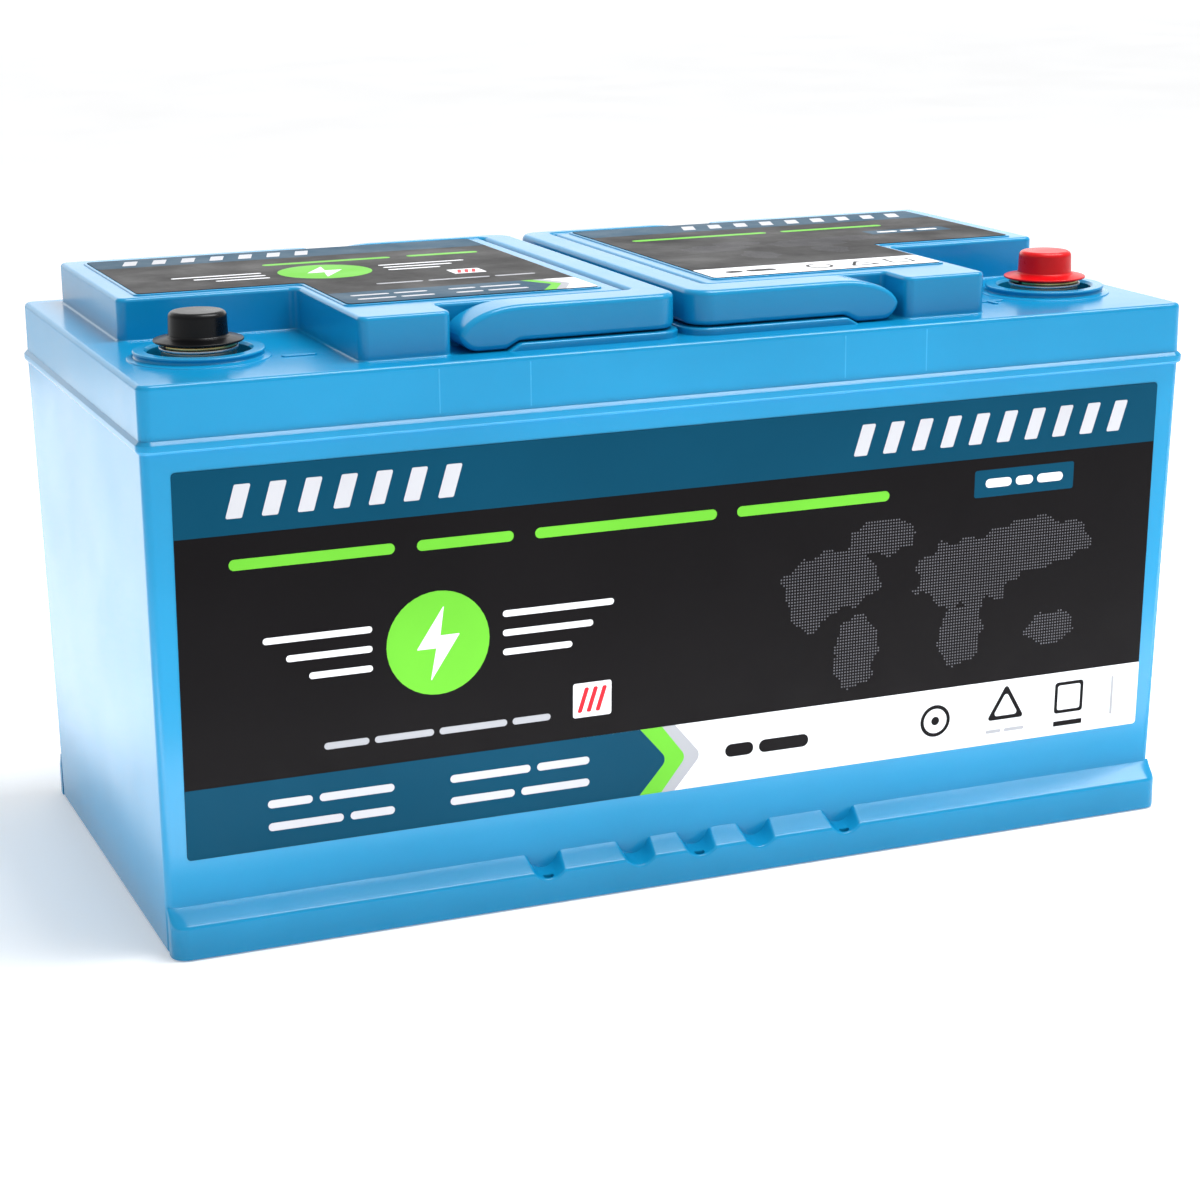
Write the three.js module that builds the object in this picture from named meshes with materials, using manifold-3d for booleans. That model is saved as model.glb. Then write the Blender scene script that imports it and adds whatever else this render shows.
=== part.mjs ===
// A 12.8 V lithium deep cycle battery in a DIN-size case, millimetres, +Z up.
// Origin: centre of the base. +X runs along the length (positive terminal side), -Y is the front.
import * as THREE from "three";
import { mergeVertices } from "three/addons/utils/BufferGeometryUtils.js";
import Module from "manifold-3d";

const wasm = await Module();
wasm.setup();

// ---------------------------------------------------------------- driving dimensions
const LENGTH = 353;
const WIDTH = 175;
const HEIGHT = 190;
const FILM = 0.25; // thickness of a printed label
const REST_GAP = 0.05; // between pieces that lie on each other

const CASE_FOOT = { x: 173.7, y: 80.0 }; // half sizes of the case wall at the base
const CASE_TOP = { x: 175.4, y: 85.8 }; // and under its rim: the walls lean out by two degrees
const RIM_BOTTOM = 156.1;
const RIM_TOP = 159.7;
const WALL = 3;
const CORNER = 4;
const LEDGE = { outer: WIDTH / 2, height: 11.2, top: 14.6, endX: 173.7 };
const NOTCH = { half: 5.8, floor: 9.0, round: 4.2, pitch: [-52.5, -21.3, 0, 21.3, 52.5] };

const LID_BOTTOM = 160.0;
const DECK = 175.9;
const BLOCK_TOP = HEIGHT - FILM - REST_GAP;
const BLOCK = { endX: 163.5, notchX: 106, notchY: -9.8, portX: 77, front: -76.3, back: 79.8, round: 3 };
const PANEL = { front: -60.3, back: 72.6, x: 14 };
const PAD_TOP = DECK + 2.3;

const TERMINAL = { x: 147, y: -45 };
const COLLAR = { r: 19.5, footR: 21.4, top: 178.6, wallFoot: 177.3 };
const WELL = { r: 15.65, cupR: 18.6, floor: 167.4, floorThickness: 3, stemR: 8.3 };

const PIVOT = { x: 68.3, z: 182.5 };
const HANDLE = { bottom: 178.7, tipX: 2, barX: 13, noseR: 6.2, round: 8 };
const ARM = { front: [-76.2, -61.3], back: [73.6, 79.8] }; // the front arm is the wide one
const TRUNNION = { r: 3.0, holeR: 3.25, reach: 4.5 };

const CELL = { x: 160, y: 50.1, z: 118.5, gap: 1.0 };
const FLOOR_PAD_TOP = WALL + 3;
const CELL_BOTTOM = FLOOR_PAD_TOP + REST_GAP;
const CELL_TOP = CELL_BOTTOM + CELL.z;
const STUD = { padR: 9, padHeight: 3, r: 3, top: CELL_TOP + 9.5, inset: 20 };
const LINK = { half: 10, thickness: 2, bottom: CELL_TOP + STUD.padHeight + REST_GAP };
const TRAY = { x: 118, y: 47, z: 139, thickness: 2 };
const BOARD_Z = 143.2;

// ---------------------------------------------------------------- materials
function material(color, roughness, metalness = 0) {
  return new THREE.MeshStandardMaterial({ color, roughness, metalness });
}
const bluePlastic = () => material(0x2a90d8, 0.25);
const blackPlastic = () => material(0x111113, 0.3);
const redPlastic = () => material(0xd81c22, 0.3);
const rubber = () => material(0x17181a, 0.85);
const labelFilm = () => material(0x2a2a2d, 0.35);
const steel = () => material(0xb9bcc0, 0.35, 1);
const yellowSteel = () => material(0xb59b58, 0.35, 1);
const tinnedBrass = () => material(0xc9c4b4, 0.35, 1);
const copper = () => material(0xc07a4c, 0.35, 1);
const aluminium = () => material(0xaeb2b6, 0.4, 1);
const cellWrap = () => material(0x2c5f9e, 0.4, 0.6);
const foam = () => material(0x2f3033, 0.95);
const fibreSheet = () => material(0xcfd3c4, 0.7);
const circuitBoard = () => material(0x1d5a34, 0.5);
const cableSleeve = (color) => material(color, 0.6);

// ---------------------------------------------------------------- geometry helpers
function solid(geometry) {
  const bare = geometry.index ? geometry.toNonIndexed() : geometry.clone();
  bare.deleteAttribute("normal");
  bare.deleteAttribute("uv");
  const merged = mergeVertices(bare, 1e-4);
  const vertProperties = new Float32Array(merged.attributes.position.array);
  const triVerts = new Uint32Array(merged.index.array);
  return new wasm.Manifold(new wasm.Mesh({ numProp: 3, vertProperties, triVerts }));
}

function geometryOf(body) {
  const mesh = body.getMesh();
  const geometry = new THREE.BufferGeometry();
  geometry.setAttribute("position", new THREE.BufferAttribute(mesh.vertProperties, 3));
  geometry.setIndex(new THREE.BufferAttribute(mesh.triVerts, 1));
  return geometry;
}

const union = (first, ...rest) => rest.reduce((sum, body) => sum.add(body), first);
const cut = (first, ...rest) => rest.reduce((sum, body) => sum.subtract(body), first);

function box(x0, x1, y0, y1, z0, z1) {
  const geometry = new THREE.BoxGeometry(x1 - x0, y1 - y0, z1 - z0);
  geometry.translate((x0 + x1) / 2, (y0 + y1) / 2, (z0 + z1) / 2);
  return solid(geometry);
}

function disc(radius, z0, z1, x = 0, y = 0, sides = 28) {
  const geometry = new THREE.CylinderGeometry(radius, radius, z1 - z0, sides);
  geometry.rotateX(Math.PI / 2);
  geometry.translate(x, y, (z0 + z1) / 2);
  return solid(geometry);
}

function rodAlongY(radius, y0, y1, x, z, sides = 16) {
  const geometry = new THREE.CylinderGeometry(radius, radius, y1 - y0, sides);
  geometry.translate(x, (y0 + y1) / 2, z);
  return solid(geometry);
}

// A closed profile of [radius, z] pairs turned about the Z axis.
function turned(profile, sides = 28) {
  const points = profile.map(([radius, z]) => new THREE.Vector2(radius, z));
  const geometry = new THREE.LatheGeometry([...points, points[0]], sides);
  geometry.rotateX(Math.PI / 2);
  return solid(geometry);
}

// An outline of [x, y, corner radius] triples. A radius needs a right-angled corner.
function outline(corners) {
  const shape = new THREE.Shape();
  corners.forEach(([x, y, radius = 0], i) => {
    const corner = new THREE.Vector2(x, y);
    const before = new THREE.Vector2(...corners.at(i - 1));
    const after = new THREE.Vector2(...corners[(i + 1) % corners.length]);
    const from = corner.clone().add(before.sub(corner).setLength(radius));
    const to = corner.clone().add(after.sub(corner).setLength(radius));
    if (i === 0) shape.moveTo(from.x, from.y);
    else shape.lineTo(from.x, from.y);
    if (radius > 0) roundCorner(shape, from, corner, to);
  });
  shape.closePath();
  return shape;
}

// The exact arc of a right-angled corner, tangent to both edges.
function roundCorner(shape, from, corner, to) {
  const centre = from.clone().add(to).sub(corner);
  const start = Math.atan2(from.y - centre.y, from.x - centre.x);
  const end = Math.atan2(to.y - centre.y, to.x - centre.x);
  const turn = (corner.x - from.x) * (to.y - corner.y) - (corner.y - from.y) * (to.x - corner.x);
  shape.absarc(centre.x, centre.y, from.distanceTo(centre), start, end, turn < 0);
}

const rectangle = (halfX, halfY, radius) =>
  outline([
    [-halfX, -halfY, radius],
    [halfX, -halfY, radius],
    [halfX, halfY, radius],
    [-halfX, halfY, radius],
  ]);

function prism(shape, z0, z1, curveSegments = 2) {
  const settings = { depth: z1 - z0, bevelEnabled: false, curveSegments };
  const geometry = new THREE.ExtrudeGeometry(shape, settings);
  geometry.translate(0, 0, z0);
  return geometry;
}

const plate = (shape, z0, z1, curveSegments) => solid(prism(shape, z0, z1, curveSegments));

// A shape drawn in X and Z, extruded along Y from y0 to y1.
function slab(shape, y0, y1, curveSegments = 2) {
  const geometry = prism(shape, -y1, -y0, curveSegments);
  geometry.rotateX(Math.PI / 2);
  return solid(geometry);
}

// Narrows a prism towards z = 0, as the draft of the case walls does.
function drafted(geometry) {
  const position = geometry.attributes.position;
  for (let i = 0; i < position.count; i++) {
    const rise = position.getZ(i) / RIM_BOTTOM;
    position.setX(i, position.getX(i) * THREE.MathUtils.lerp(CASE_FOOT.x / CASE_TOP.x, 1, rise));
    position.setY(i, position.getY(i) * THREE.MathUtils.lerp(CASE_FOOT.y / CASE_TOP.y, 1, rise));
  }
  return solid(geometry);
}

function tubeAlong(points, radius, steps, sides = 6) {
  const path = new THREE.CatmullRomCurve3(points.map((p) => new THREE.Vector3(...p)));
  const section = new THREE.Shape();
  section.absarc(0, 0, radius, 0, 2 * Math.PI, false);
  const settings = { steps, extrudePath: path, curveSegments: sides / 2, bevelEnabled: false };
  return solid(new THREE.ExtrudeGeometry(section, settings));
}

function hexagon(acrossFlats, z0, z1, x, y) {
  const reach = acrossFlats / Math.sqrt(3);
  const corners = [0, 1, 2, 3, 4, 5].map((i) => {
    const angle = (i * Math.PI) / 3;
    return [x + reach * Math.cos(angle), y + reach * Math.sin(angle)];
  });
  return plate(outline(corners), z0, z1);
}

const root = new THREE.Group();

function add(name, body, surface) {
  const mesh = new THREE.Mesh(geometryOf(body), surface);
  mesh.name = name;
  root.add(mesh);
  return mesh;
}

// ---------------------------------------------------------------- case
const wallY = (z) => THREE.MathUtils.lerp(CASE_FOOT.y, CASE_TOP.y, z / RIM_BOTTOM);

function ledge(side) {
  const inner = wallY(0) - 1;
  const shape = new THREE.Shape();
  shape.moveTo(-LEDGE.outer, 0);
  shape.lineTo(-inner, 0);
  shape.lineTo(-inner, LEDGE.top);
  shape.lineTo(-wallY(LEDGE.top), LEDGE.top);
  shape.lineTo(-LEDGE.outer, LEDGE.height);
  const geometry = prism(shape, -LEDGE.endX, LEDGE.endX);
  geometry.rotateX(Math.PI / 2);
  geometry.rotateZ(Math.PI / 2);
  if (side > 0) geometry.rotateZ(Math.PI);
  return solid(geometry).intersect(plate(rectangle(LEDGE.endX, LEDGE.outer, 5), -1, 20));
}

function notch(x, side) {
  const top = LEDGE.top + 2;
  const shape = outline([
    [x - NOTCH.half, NOTCH.floor, NOTCH.round],
    [x + NOTCH.half, NOTCH.floor, NOTCH.round],
    [x + NOTCH.half, top],
    [x - NOTCH.half, top],
  ]);
  const near = wallY(LEDGE.top) + 0.1;
  const far = LEDGE.outer + 1;
  return side < 0 ? slab(shape, -far, -near) : slab(shape, near, far);
}

function drainSlot(x, side) {
  const y0 = side < 0 ? -87.0 : 85.4;
  return box(x - 1.6, x + 1.6, y0, y0 + 1.6, NOTCH.floor - 2.5, NOTCH.floor + 1);
}

function buildCase() {
  const shell = drafted(prism(rectangle(CASE_TOP.x, CASE_TOP.y, CORNER), 0, RIM_BOTTOM));
  const hollow = prism(rectangle(CASE_TOP.x - WALL, CASE_TOP.y - WALL, 2), WALL, RIM_TOP + 2);
  let body = union(shell, ledge(-1), ledge(1));
  body = body.add(plate(rectangle(LENGTH / 2, WIDTH / 2, CORNER), RIM_BOTTOM, RIM_TOP));
  body = body.subtract(drafted(hollow));
  for (const side of [-1, 1]) {
    NOTCH.pitch.forEach((x, i) => {
      body = body.subtract(notch(x, side));
      if (i % 2 === 0) body = body.subtract(drainSlot(x, side));
    });
  }
  return body;
}
add("case", buildCase(), bluePlastic());

// ---------------------------------------------------------------- lid
// The raised block on one side (side -1 is the negative end), its outline set in by inset.
function blockShape(side, inset) {
  const end = side * (BLOCK.endX - inset);
  const bay = side * (BLOCK.notchX - inset);
  const port = side * (BLOCK.portX + inset);
  const centre = side * (PANEL.x + inset);
  const front = BLOCK.front + inset;
  const back = BLOCK.back - inset;
  const [panelFront, panelBack] = [PANEL.front + inset, PANEL.back - inset];
  const r = BLOCK.round;
  const corners = [
    [end, BLOCK.notchY + inset, r],
    [bay, BLOCK.notchY + inset, r],
    [bay, front, r],
    [port, front, r],
    [port, panelFront, 1.5],
    [centre, panelFront, 2],
    [centre, panelBack, 2],
    [port, panelBack, 1.5],
    [port, back, r],
    [end, back, r],
  ];
  return outline(side < 0 ? corners : corners.reverse());
}

// The low step that a folded handle lies over, ramped down towards the handle's pivot.
function handlePad(side) {
  const plan = outline([
    [side * 0.6, ARM.front[0] - 1.5, 9.5],
    [side * 0.6, ARM.back[1] + 1.5, 9.5],
    [side * 60, ARM.back[1] + 1.5],
    [side * 60, ARM.front[0] - 1.5],
  ]);
  const rise = new THREE.Shape();
  rise.moveTo(0, DECK - 1);
  rise.lineTo(side * 59.3, DECK - 1);
  rise.lineTo(side * 59.3, DECK);
  rise.lineTo(side * 55, PAD_TOP);
  rise.lineTo(0, PAD_TOP);
  return plate(plan, DECK - 1, PAD_TOP, 4).intersect(slab(rise, -84, 84));
}

function collar(x) {
  const ring = turned([
    [0, DECK - 1],
    [COLLAR.footR, DECK - 1],
    [COLLAR.footR, DECK],
    [COLLAR.r, COLLAR.wallFoot],
    [COLLAR.r, COLLAR.top],
    [0, COLLAR.top],
  ]);
  return ring.translate([x, TERMINAL.y, 0]);
}

function polarityMark(side) {
  const [x, y, long, thin] = [side * 119, -56, 5.5, 1.2];
  const bar = box(x - long, x + long, y - thin, y + thin, DECK - 0.5, DECK + 0.5);
  if (side < 0) return bar;
  return bar.add(box(x - thin, x + thin, y - long, y + long, DECK - 0.5, DECK + 0.5));
}

function buildLid() {
  let body = plate(rectangle(LENGTH / 2, WIDTH / 2, CORNER), LID_BOTTOM, DECK);
  const hollow = plate(rectangle(LENGTH / 2 - WALL, WIDTH / 2 - WALL, 2), LID_BOTTOM - 1, DECK - WALL);
  for (const side of [-1, 1]) body = body.add(plate(blockShape(side, 0), DECK - 1, BLOCK_TOP));
  body = body.subtract(hollow);
  for (const side of [-1, 1]) {
    const x = side * TERMINAL.x;
    body = body.subtract(plate(blockShape(side, WALL), DECK - WALL - 1, BLOCK_TOP - WALL));
    body = body.add(disc(WELL.cupR, WELL.floor - WELL.floorThickness, DECK, x, TERMINAL.y));
    body = union(body, collar(x), handlePad(side), polarityMark(side));
    body = body.subtract(disc(WELL.r, WELL.floor, COLLAR.top + 1, x, TERMINAL.y));
    body = body.subtract(disc(WELL.stemR, 160, WELL.floor + 1, x, TERMINAL.y));
    for (const [y0, y1] of [[PANEL.front - 1, PANEL.front + WALL + 1], [PANEL.back - WALL - 1, PANEL.back + 1]]) {
      body = body.subtract(rodAlongY(TRUNNION.holeR, y0, y1, side * PIVOT.x, PIVOT.z));
    }
  }
  return body;
}
add("lid", buildLid(), bluePlastic());

// ---------------------------------------------------------------- handles
// Side view of a handle arm in X and Z: a round nose about the pivot and a flat grip end.
function armShape(side) {
  const { x, z } = PIVOT;
  const at = (u, v) => [side * u, v];
  const nose = HANDLE.noseR;
  const shape = new THREE.Shape();
  shape.moveTo(...at(HANDLE.tipX, HANDLE.bottom));
  shape.lineTo(...at(55.2, HANDLE.bottom));
  shape.lineTo(...at(60, z - nose));
  shape.lineTo(...at(x, z - nose));
  const back = 10 * (Math.PI / 180);
  for (let step = 1; step <= 6; step++) {
    const angle = (step / 6) * (Math.PI / 2 - back);
    shape.lineTo(...at(x + nose * Math.sin(angle), z - nose * Math.cos(angle)));
  }
  shape.bezierCurveTo(...at(x + 5.3, z + 3.1), ...at(66, BLOCK_TOP - 0.2), ...at(54, BLOCK_TOP));
  shape.lineTo(...at(HANDLE.tipX, BLOCK_TOP));
  return shape;
}

// Open pockets under the grip and the front arm leave a thin wall with ribs between them.
function handlePockets(side) {
  const pockets = [];
  const roof = BLOCK_TOP - 3;
  const floor = HANDLE.bottom - 1;
  const at = (a, b) => (side < 0 ? [-b, -a] : [a, b]);
  for (let i = 0; i < 6; i++) {
    const y0 = -58 + i * 21.5;
    pockets.push(box(...at(4.2, 10.8), y0, y0 + 19.9, floor, roof));
  }
  pockets.push(box(...at(16, 33), -74, -63.5, floor, roof));
  pockets.push(box(...at(34.6, 52), -74, -63.5, floor, roof));
  return pockets;
}

function buildHandle(side) {
  const gap = outline([
    [side * HANDLE.barX, ARM.front[1], 2],
    [side * 90, ARM.front[1]],
    [side * 90, ARM.back[0]],
    [side * HANDLE.barX, ARM.back[0], 2],
  ]);
  const plan = outline([
    [side * HANDLE.tipX, ARM.front[0], HANDLE.round],
    [side * HANDLE.tipX, ARM.back[1], HANDLE.round],
    [side * 90, ARM.back[1]],
    [side * 90, ARM.front[0]],
  ]);
  let body = slab(armShape(side), ARM.front[0], ARM.back[1], 4);
  body = body.intersect(plate(plan, 170, 195, 4)).subtract(plate(gap, 170, 195));
  const [front, back] = [ARM.front[1], ARM.back[0]];
  for (const [y0, y1] of [[front - 1, front + TRUNNION.reach], [back - TRUNNION.reach, back + 1]]) {
    body = body.add(rodAlongY(TRUNNION.r, y0, y1, side * PIVOT.x, PIVOT.z));
  }
  return cut(body, ...handlePockets(side));
}
add("handle_left", buildHandle(-1), bluePlastic());
add("handle_right", buildHandle(1), bluePlastic());

// ---------------------------------------------------------------- terminals
const POST = { r: 11.3, stemR: 8.0, top: 178.5, shoulder: 169.2, foot: 152, boreR: 4.2, boreEnd: 161 };
const FLAT_WASHER = { r: 12, holeR: 4.25, bottom: POST.top + REST_GAP, thickness: 0.9 };
const SPRING_WASHER = { r: 11.4, holeR: 4.3, thickness: 1.2, slot: 0.6 };
const BOLT = { headZ: 180.75, headHeight: 5.3, acrossFlats: 13, cornerR: 7.25, shankR: 3.95, end: 164.6 };
const CAP = { flangeR: 13.75, flangeTop: 182.2, r: 8.2, hollowR: 7.6, roof: 187, edge: 1.2 };

function buildPost() {
  return turned([
    [0, POST.foot],
    [POST.stemR, POST.foot],
    [POST.stemR, POST.shoulder],
    [POST.r, POST.shoulder],
    [POST.r, POST.top],
    [POST.boreR, POST.top],
    [POST.boreR, POST.boreEnd],
    [0, POST.boreEnd],
  ]);
}

function buildCap() {
  const foot = BOLT.headZ + REST_GAP;
  const edge = [0, 1, 2, 3].map((i) => {
    const angle = (i / 3) * (Math.PI / 2);
    return [CAP.r - CAP.edge * (1 - Math.cos(angle)), HEIGHT - CAP.edge * (1 - Math.sin(angle))];
  });
  return turned([
    [CAP.hollowR, foot],
    [CAP.flangeR, foot],
    [CAP.flangeR, CAP.flangeTop],
    [CAP.r, CAP.flangeTop],
    ...edge,
    [0, HEIGHT],
    [0, CAP.roof],
    [CAP.hollowR, CAP.roof],
  ]);
}

function ring(outerR, innerR, z0, z1, sides = 28) {
  return disc(outerR, z0, z1, 0, 0, sides).subtract(disc(innerR, z0 - 1, z1 + 1, 0, 0, sides));
}

function addTerminal(side, sign, capSurface) {
  const x = side * TERMINAL.x;
  const place = (name, body, surface) => add(`${sign}_${name}`, body.translate([x, TERMINAL.y, 0]), surface);
  const flatTop = FLAT_WASHER.bottom + FLAT_WASHER.thickness;
  const springBottom = flatTop + REST_GAP;
  const springTop = springBottom + SPRING_WASHER.thickness;
  const headTop = BOLT.headZ + BOLT.headHeight;
  const nutTop = 161.5;
  place("terminal_cap", buildCap(), capSurface);
  const head = hexagon(BOLT.acrossFlats, BOLT.headZ, headTop, 0, 0);
  const chamfered = head.intersect(disc(BOLT.cornerR, BOLT.headZ, headTop));
  place("terminal_bolt", chamfered.add(disc(BOLT.shankR, BOLT.end, BOLT.headZ + 1, 0, 0, 20)), steel());
  const split = box(0, 20, -SPRING_WASHER.slot, SPRING_WASHER.slot, springBottom - 1, springTop + 1);
  const spring = ring(SPRING_WASHER.r, SPRING_WASHER.holeR, springBottom, springTop);
  place("spring_washer", spring.subtract(split), yellowSteel());
  place("flat_washer", ring(FLAT_WASHER.r, FLAT_WASHER.holeR, FLAT_WASHER.bottom, flatTop), steel());
  place("terminal_post", buildPost(), tinnedBrass());
  place("post_seal", ring(13.4, 8.4, WELL.floor + REST_GAP, POST.shoulder - REST_GAP), rubber());
  const nut = hexagon(24, 154.6, nutTop, 0, 0).subtract(disc(8.1, 150, 165));
  place("post_nut", nut, steel());
}
addTerminal(-1, "negative", blackPlastic());
addTerminal(1, "positive", redPlastic());

// ---------------------------------------------------------------- printed labels
const FRONT_LABEL = { halfX: 167, height: 120.5, centreZ: 89.75, corner: 2 };

function addFrontLabel() {
  const film = plate(rectangle(FRONT_LABEL.halfX, FRONT_LABEL.height / 2, FRONT_LABEL.corner), 0, FILM);
  const label = add("front_label", film, labelFilm());
  const lean = Math.atan((CASE_TOP.y - CASE_FOOT.y) / RIM_BOTTOM);
  label.rotation.x = Math.PI / 2 + lean;
  label.position.set(0, -wallY(FRONT_LABEL.centreZ) - REST_GAP, FRONT_LABEL.centreZ);
}
addFrontLabel();

function topLabelShape(side) {
  const [end, bay, centre] = [side * 156, side * 102.3, side * 20];
  const corners = [
    [end, -4.8, 1.5],
    [bay, -4.8, 1.5],
    [bay, -53, 1.5],
    [centre, -53, 1.5],
    [centre, 71, 1.5],
    [end, 71, 1.5],
  ];
  return outline(side < 0 ? corners : corners.reverse());
}
add("top_label_left", plate(topLabelShape(-1), HEIGHT - FILM, HEIGHT), labelFilm());
add("top_label_right", plate(topLabelShape(1), HEIGHT - FILM, HEIGHT), labelFilm());

// ---------------------------------------------------------------- cells and their packing
const CELL_PLACES = [
  [-1, -1],
  [1, -1],
  [1, 1],
  [-1, 1],
]; // side in X and in Y, in the order of the series string
const cellCentre = ([sx, sy]) => [sx * (CELL.x + CELL.gap) / 2, sy * (CELL.y + CELL.gap) / 2];
const studX = (sx, outer) => sx * (CELL.gap / 2 + (outer ? CELL.x - STUD.inset : STUD.inset));

CELL_PLACES.forEach((place, i) => {
  const [sx] = place;
  const [x, y] = cellCentre(place);
  let body = plate(rectangle(CELL.x / 2, CELL.y / 2, 3), CELL_BOTTOM, CELL_TOP).translate([x, y, 0]);
  for (const outer of [false, true]) {
    const px = studX(sx, outer);
    body = body.add(disc(STUD.padR, CELL_TOP - 1, CELL_TOP + STUD.padHeight, px, y, 16));
    body = body.add(disc(STUD.r, CELL_TOP, STUD.top, px, y, 8));
    const nutFloor = LINK.bottom + LINK.thickness + REST_GAP;
    const nut = hexagon(10, nutFloor, nutFloor + 4, px, y);
    const bore = disc(STUD.r + 0.15, nutFloor - 1, nutFloor + 5, px, y, 8);
    add(`cell_nut_${2 * i + (outer ? 2 : 1)}`, nut.subtract(bore), steel());
  }
  add(`cell_${i + 1}`, body, cellWrap());
});

const blockHalfX = CELL.x + CELL.gap / 2;
const blockHalfY = CELL.y + CELL.gap / 2;
const sheetTop = CELL_TOP - 2;
add("row_separator", box(-blockHalfX, blockHalfX, -0.4, 0.4, CELL_BOTTOM, sheetTop), fibreSheet());
add("column_separator_front", box(-0.4, 0.4, -blockHalfY, -0.6, CELL_BOTTOM, sheetTop), fibreSheet());
add("column_separator_back", box(-0.4, 0.4, 0.6, blockHalfY, CELL_BOTTOM, sheetTop), fibreSheet());

function strap(z) {
  const outer = plate(rectangle(blockHalfX + 0.9, blockHalfY + 0.9, 4), z, z + 14);
  return outer.subtract(plate(rectangle(blockHalfX + 0.3, blockHalfY + 0.3, 3), z - 1, z + 15));
}
add("cell_strap_lower", strap(32), steel());
add("cell_strap_upper", strap(86), steel());

add("floor_pad", box(-165, 165, -70, 70, WALL + REST_GAP, FLOOR_PAD_TOP), foam());
add("left_pad", box(-169.5, -162.2, -50, 50, 15, 112), foam());
add("right_pad", box(162.2, 169.5, -50, 50, 15, 112), foam());
add("front_pad", box(-150, 150, -76, -52.3, 15, 112), foam());
add("back_pad", box(-150, 150, 52.3, 76, 15, 112), foam());

// ---------------------------------------------------------------- series links
function link(x0, y0, x1, y1) {
  const shape = outline([
    [Math.min(x0, x1) - LINK.half, Math.min(y0, y1) - LINK.half, 3],
    [Math.max(x0, x1) + LINK.half, Math.min(y0, y1) - LINK.half, 3],
    [Math.max(x0, x1) + LINK.half, Math.max(y0, y1) + LINK.half, 3],
    [Math.min(x0, x1) - LINK.half, Math.max(y0, y1) + LINK.half, 3],
  ]);
  const bar = plate(shape, LINK.bottom, LINK.bottom + LINK.thickness);
  const hole = (x, y) => disc(STUD.r + 0.2, LINK.bottom - 1, LINK.bottom + 3, x, y, 8);
  return cut(bar, hole(x0, y0), hole(x1, y1));
}
const rowY = (CELL.y + CELL.gap) / 2;
add("front_cell_link", link(studX(-1, false), -rowY, studX(1, false), -rowY), copper());
add("right_cell_link", link(studX(1, true), -rowY, studX(1, true), rowY), copper());
add("back_cell_link", link(studX(1, false), rowY, studX(-1, false), rowY), copper());

// ---------------------------------------------------------------- battery management unit
function buildTray() {
  const { x, y, z, thickness } = TRAY;
  let body = plate(rectangle(x, y, 6), z, z + thickness);
  for (const legX of [-75, 75]) {
    for (const legY of [-25, 25]) body = body.add(disc(4, CELL_TOP + REST_GAP, z + 1, legX, legY, 10));
  }
  return body;
}
add("bms_tray", buildTray(), fibreSheet());

const BOARD = { x: 95, y: 45, thickness: 1.6, screwX: 88, screwY: 38 };

function buildBoard() {
  const top = BOARD_Z + BOARD.thickness;
  let body = plate(rectangle(BOARD.x, BOARD.y, 3), BOARD_Z, top);
  for (let i = 0; i < 6; i++) {
    const x = -70 + i * 28;
    body = body.add(box(x - 5, x + 5, -38, -28, top - 0.5, top + 4.4));
    body = body.add(box(x - 5, x + 5, -20, -10, top - 0.5, top + 4.4));
  }
  for (let i = 0; i < 3; i++) body = body.add(disc(5, top - 0.5, top + 12, -45 + i * 16, 20, 12));
  body = body.add(box(30, 60, 30, 40, top - 0.5, top + 7));
  body = body.add(box(20, 34, 5, 19, top - 0.5, top + 2));
  for (const x of [-BOARD.screwX, BOARD.screwX]) {
    for (const y of [-BOARD.screwY, BOARD.screwY]) body = body.subtract(disc(1.7, 140, 150, x, y, 8));
  }
  return body;
}
add("bms_board", buildBoard(), circuitBoard());

function buildHeatSink() {
  const foot = BOARD_Z + BOARD.thickness + 4.4 + 0.3;
  let body = box(-82, 82, -40, -8, foot, foot + 2);
  for (let i = 0; i < 7; i++) {
    const y = -39.4 + i * 5;
    body = body.add(box(-82, 82, y, y + 1.2, foot + 1, foot + 8));
  }
  return body;
}
add("bms_heat_sink", buildHeatSink(), aluminium());

let screwNumber = 0;
for (const x of [-BOARD.screwX, BOARD.screwX]) {
  for (const y of [-BOARD.screwY, BOARD.screwY]) {
    screwNumber += 1;
    const top = BOARD_Z + BOARD.thickness;
    const screw = disc(1.5, TRAY.z + TRAY.thickness + REST_GAP, top + 1, x, y, 8);
    const head = disc(3, top + REST_GAP, top + 2.4, x, y, 12);
    add(`bms_screw_${screwNumber}`, screw.add(head), steel());
  }
}

// ---------------------------------------------------------------- leads
const LUG = { r: 8.5, thickness: 2 };
const POST_LUG = { r: 12, bottom: 161.75, top: 164.2 };
const PAD_HEIGHT = BOARD_Z + BOARD.thickness;

// An eye on the terminal post with a flat tongue that points along angle (degrees).
function postLug(x, angle) {
  const { r, bottom, top } = POST_LUG;
  const tongue = box(r - 2, 26, -4.5, 4.5, bottom, top);
  const eye = union(disc(r, bottom, top, 0, 0, 20), tongue);
  const bored = eye.subtract(disc(8.15, bottom - 1, top + 1, 0, 0, 20));
  return bored.rotate([0, 0, angle]).translate([x, TERMINAL.y, 0]);
}

// A point on the cable under that tongue, reach millimetres from the post's centre.
function tonguePoint(x, angle, reach, z) {
  const turn = THREE.MathUtils.degToRad(angle);
  return [x + reach * Math.cos(turn), TERMINAL.y + reach * Math.sin(turn), z];
}

function cellLug(x, y) {
  const eye = disc(LUG.r, LINK.bottom, LINK.bottom + LUG.thickness, x, y, 16);
  return eye.subtract(disc(STUD.r + 0.2, LINK.bottom - 1, LINK.bottom + 3, x, y, 8));
}

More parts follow.
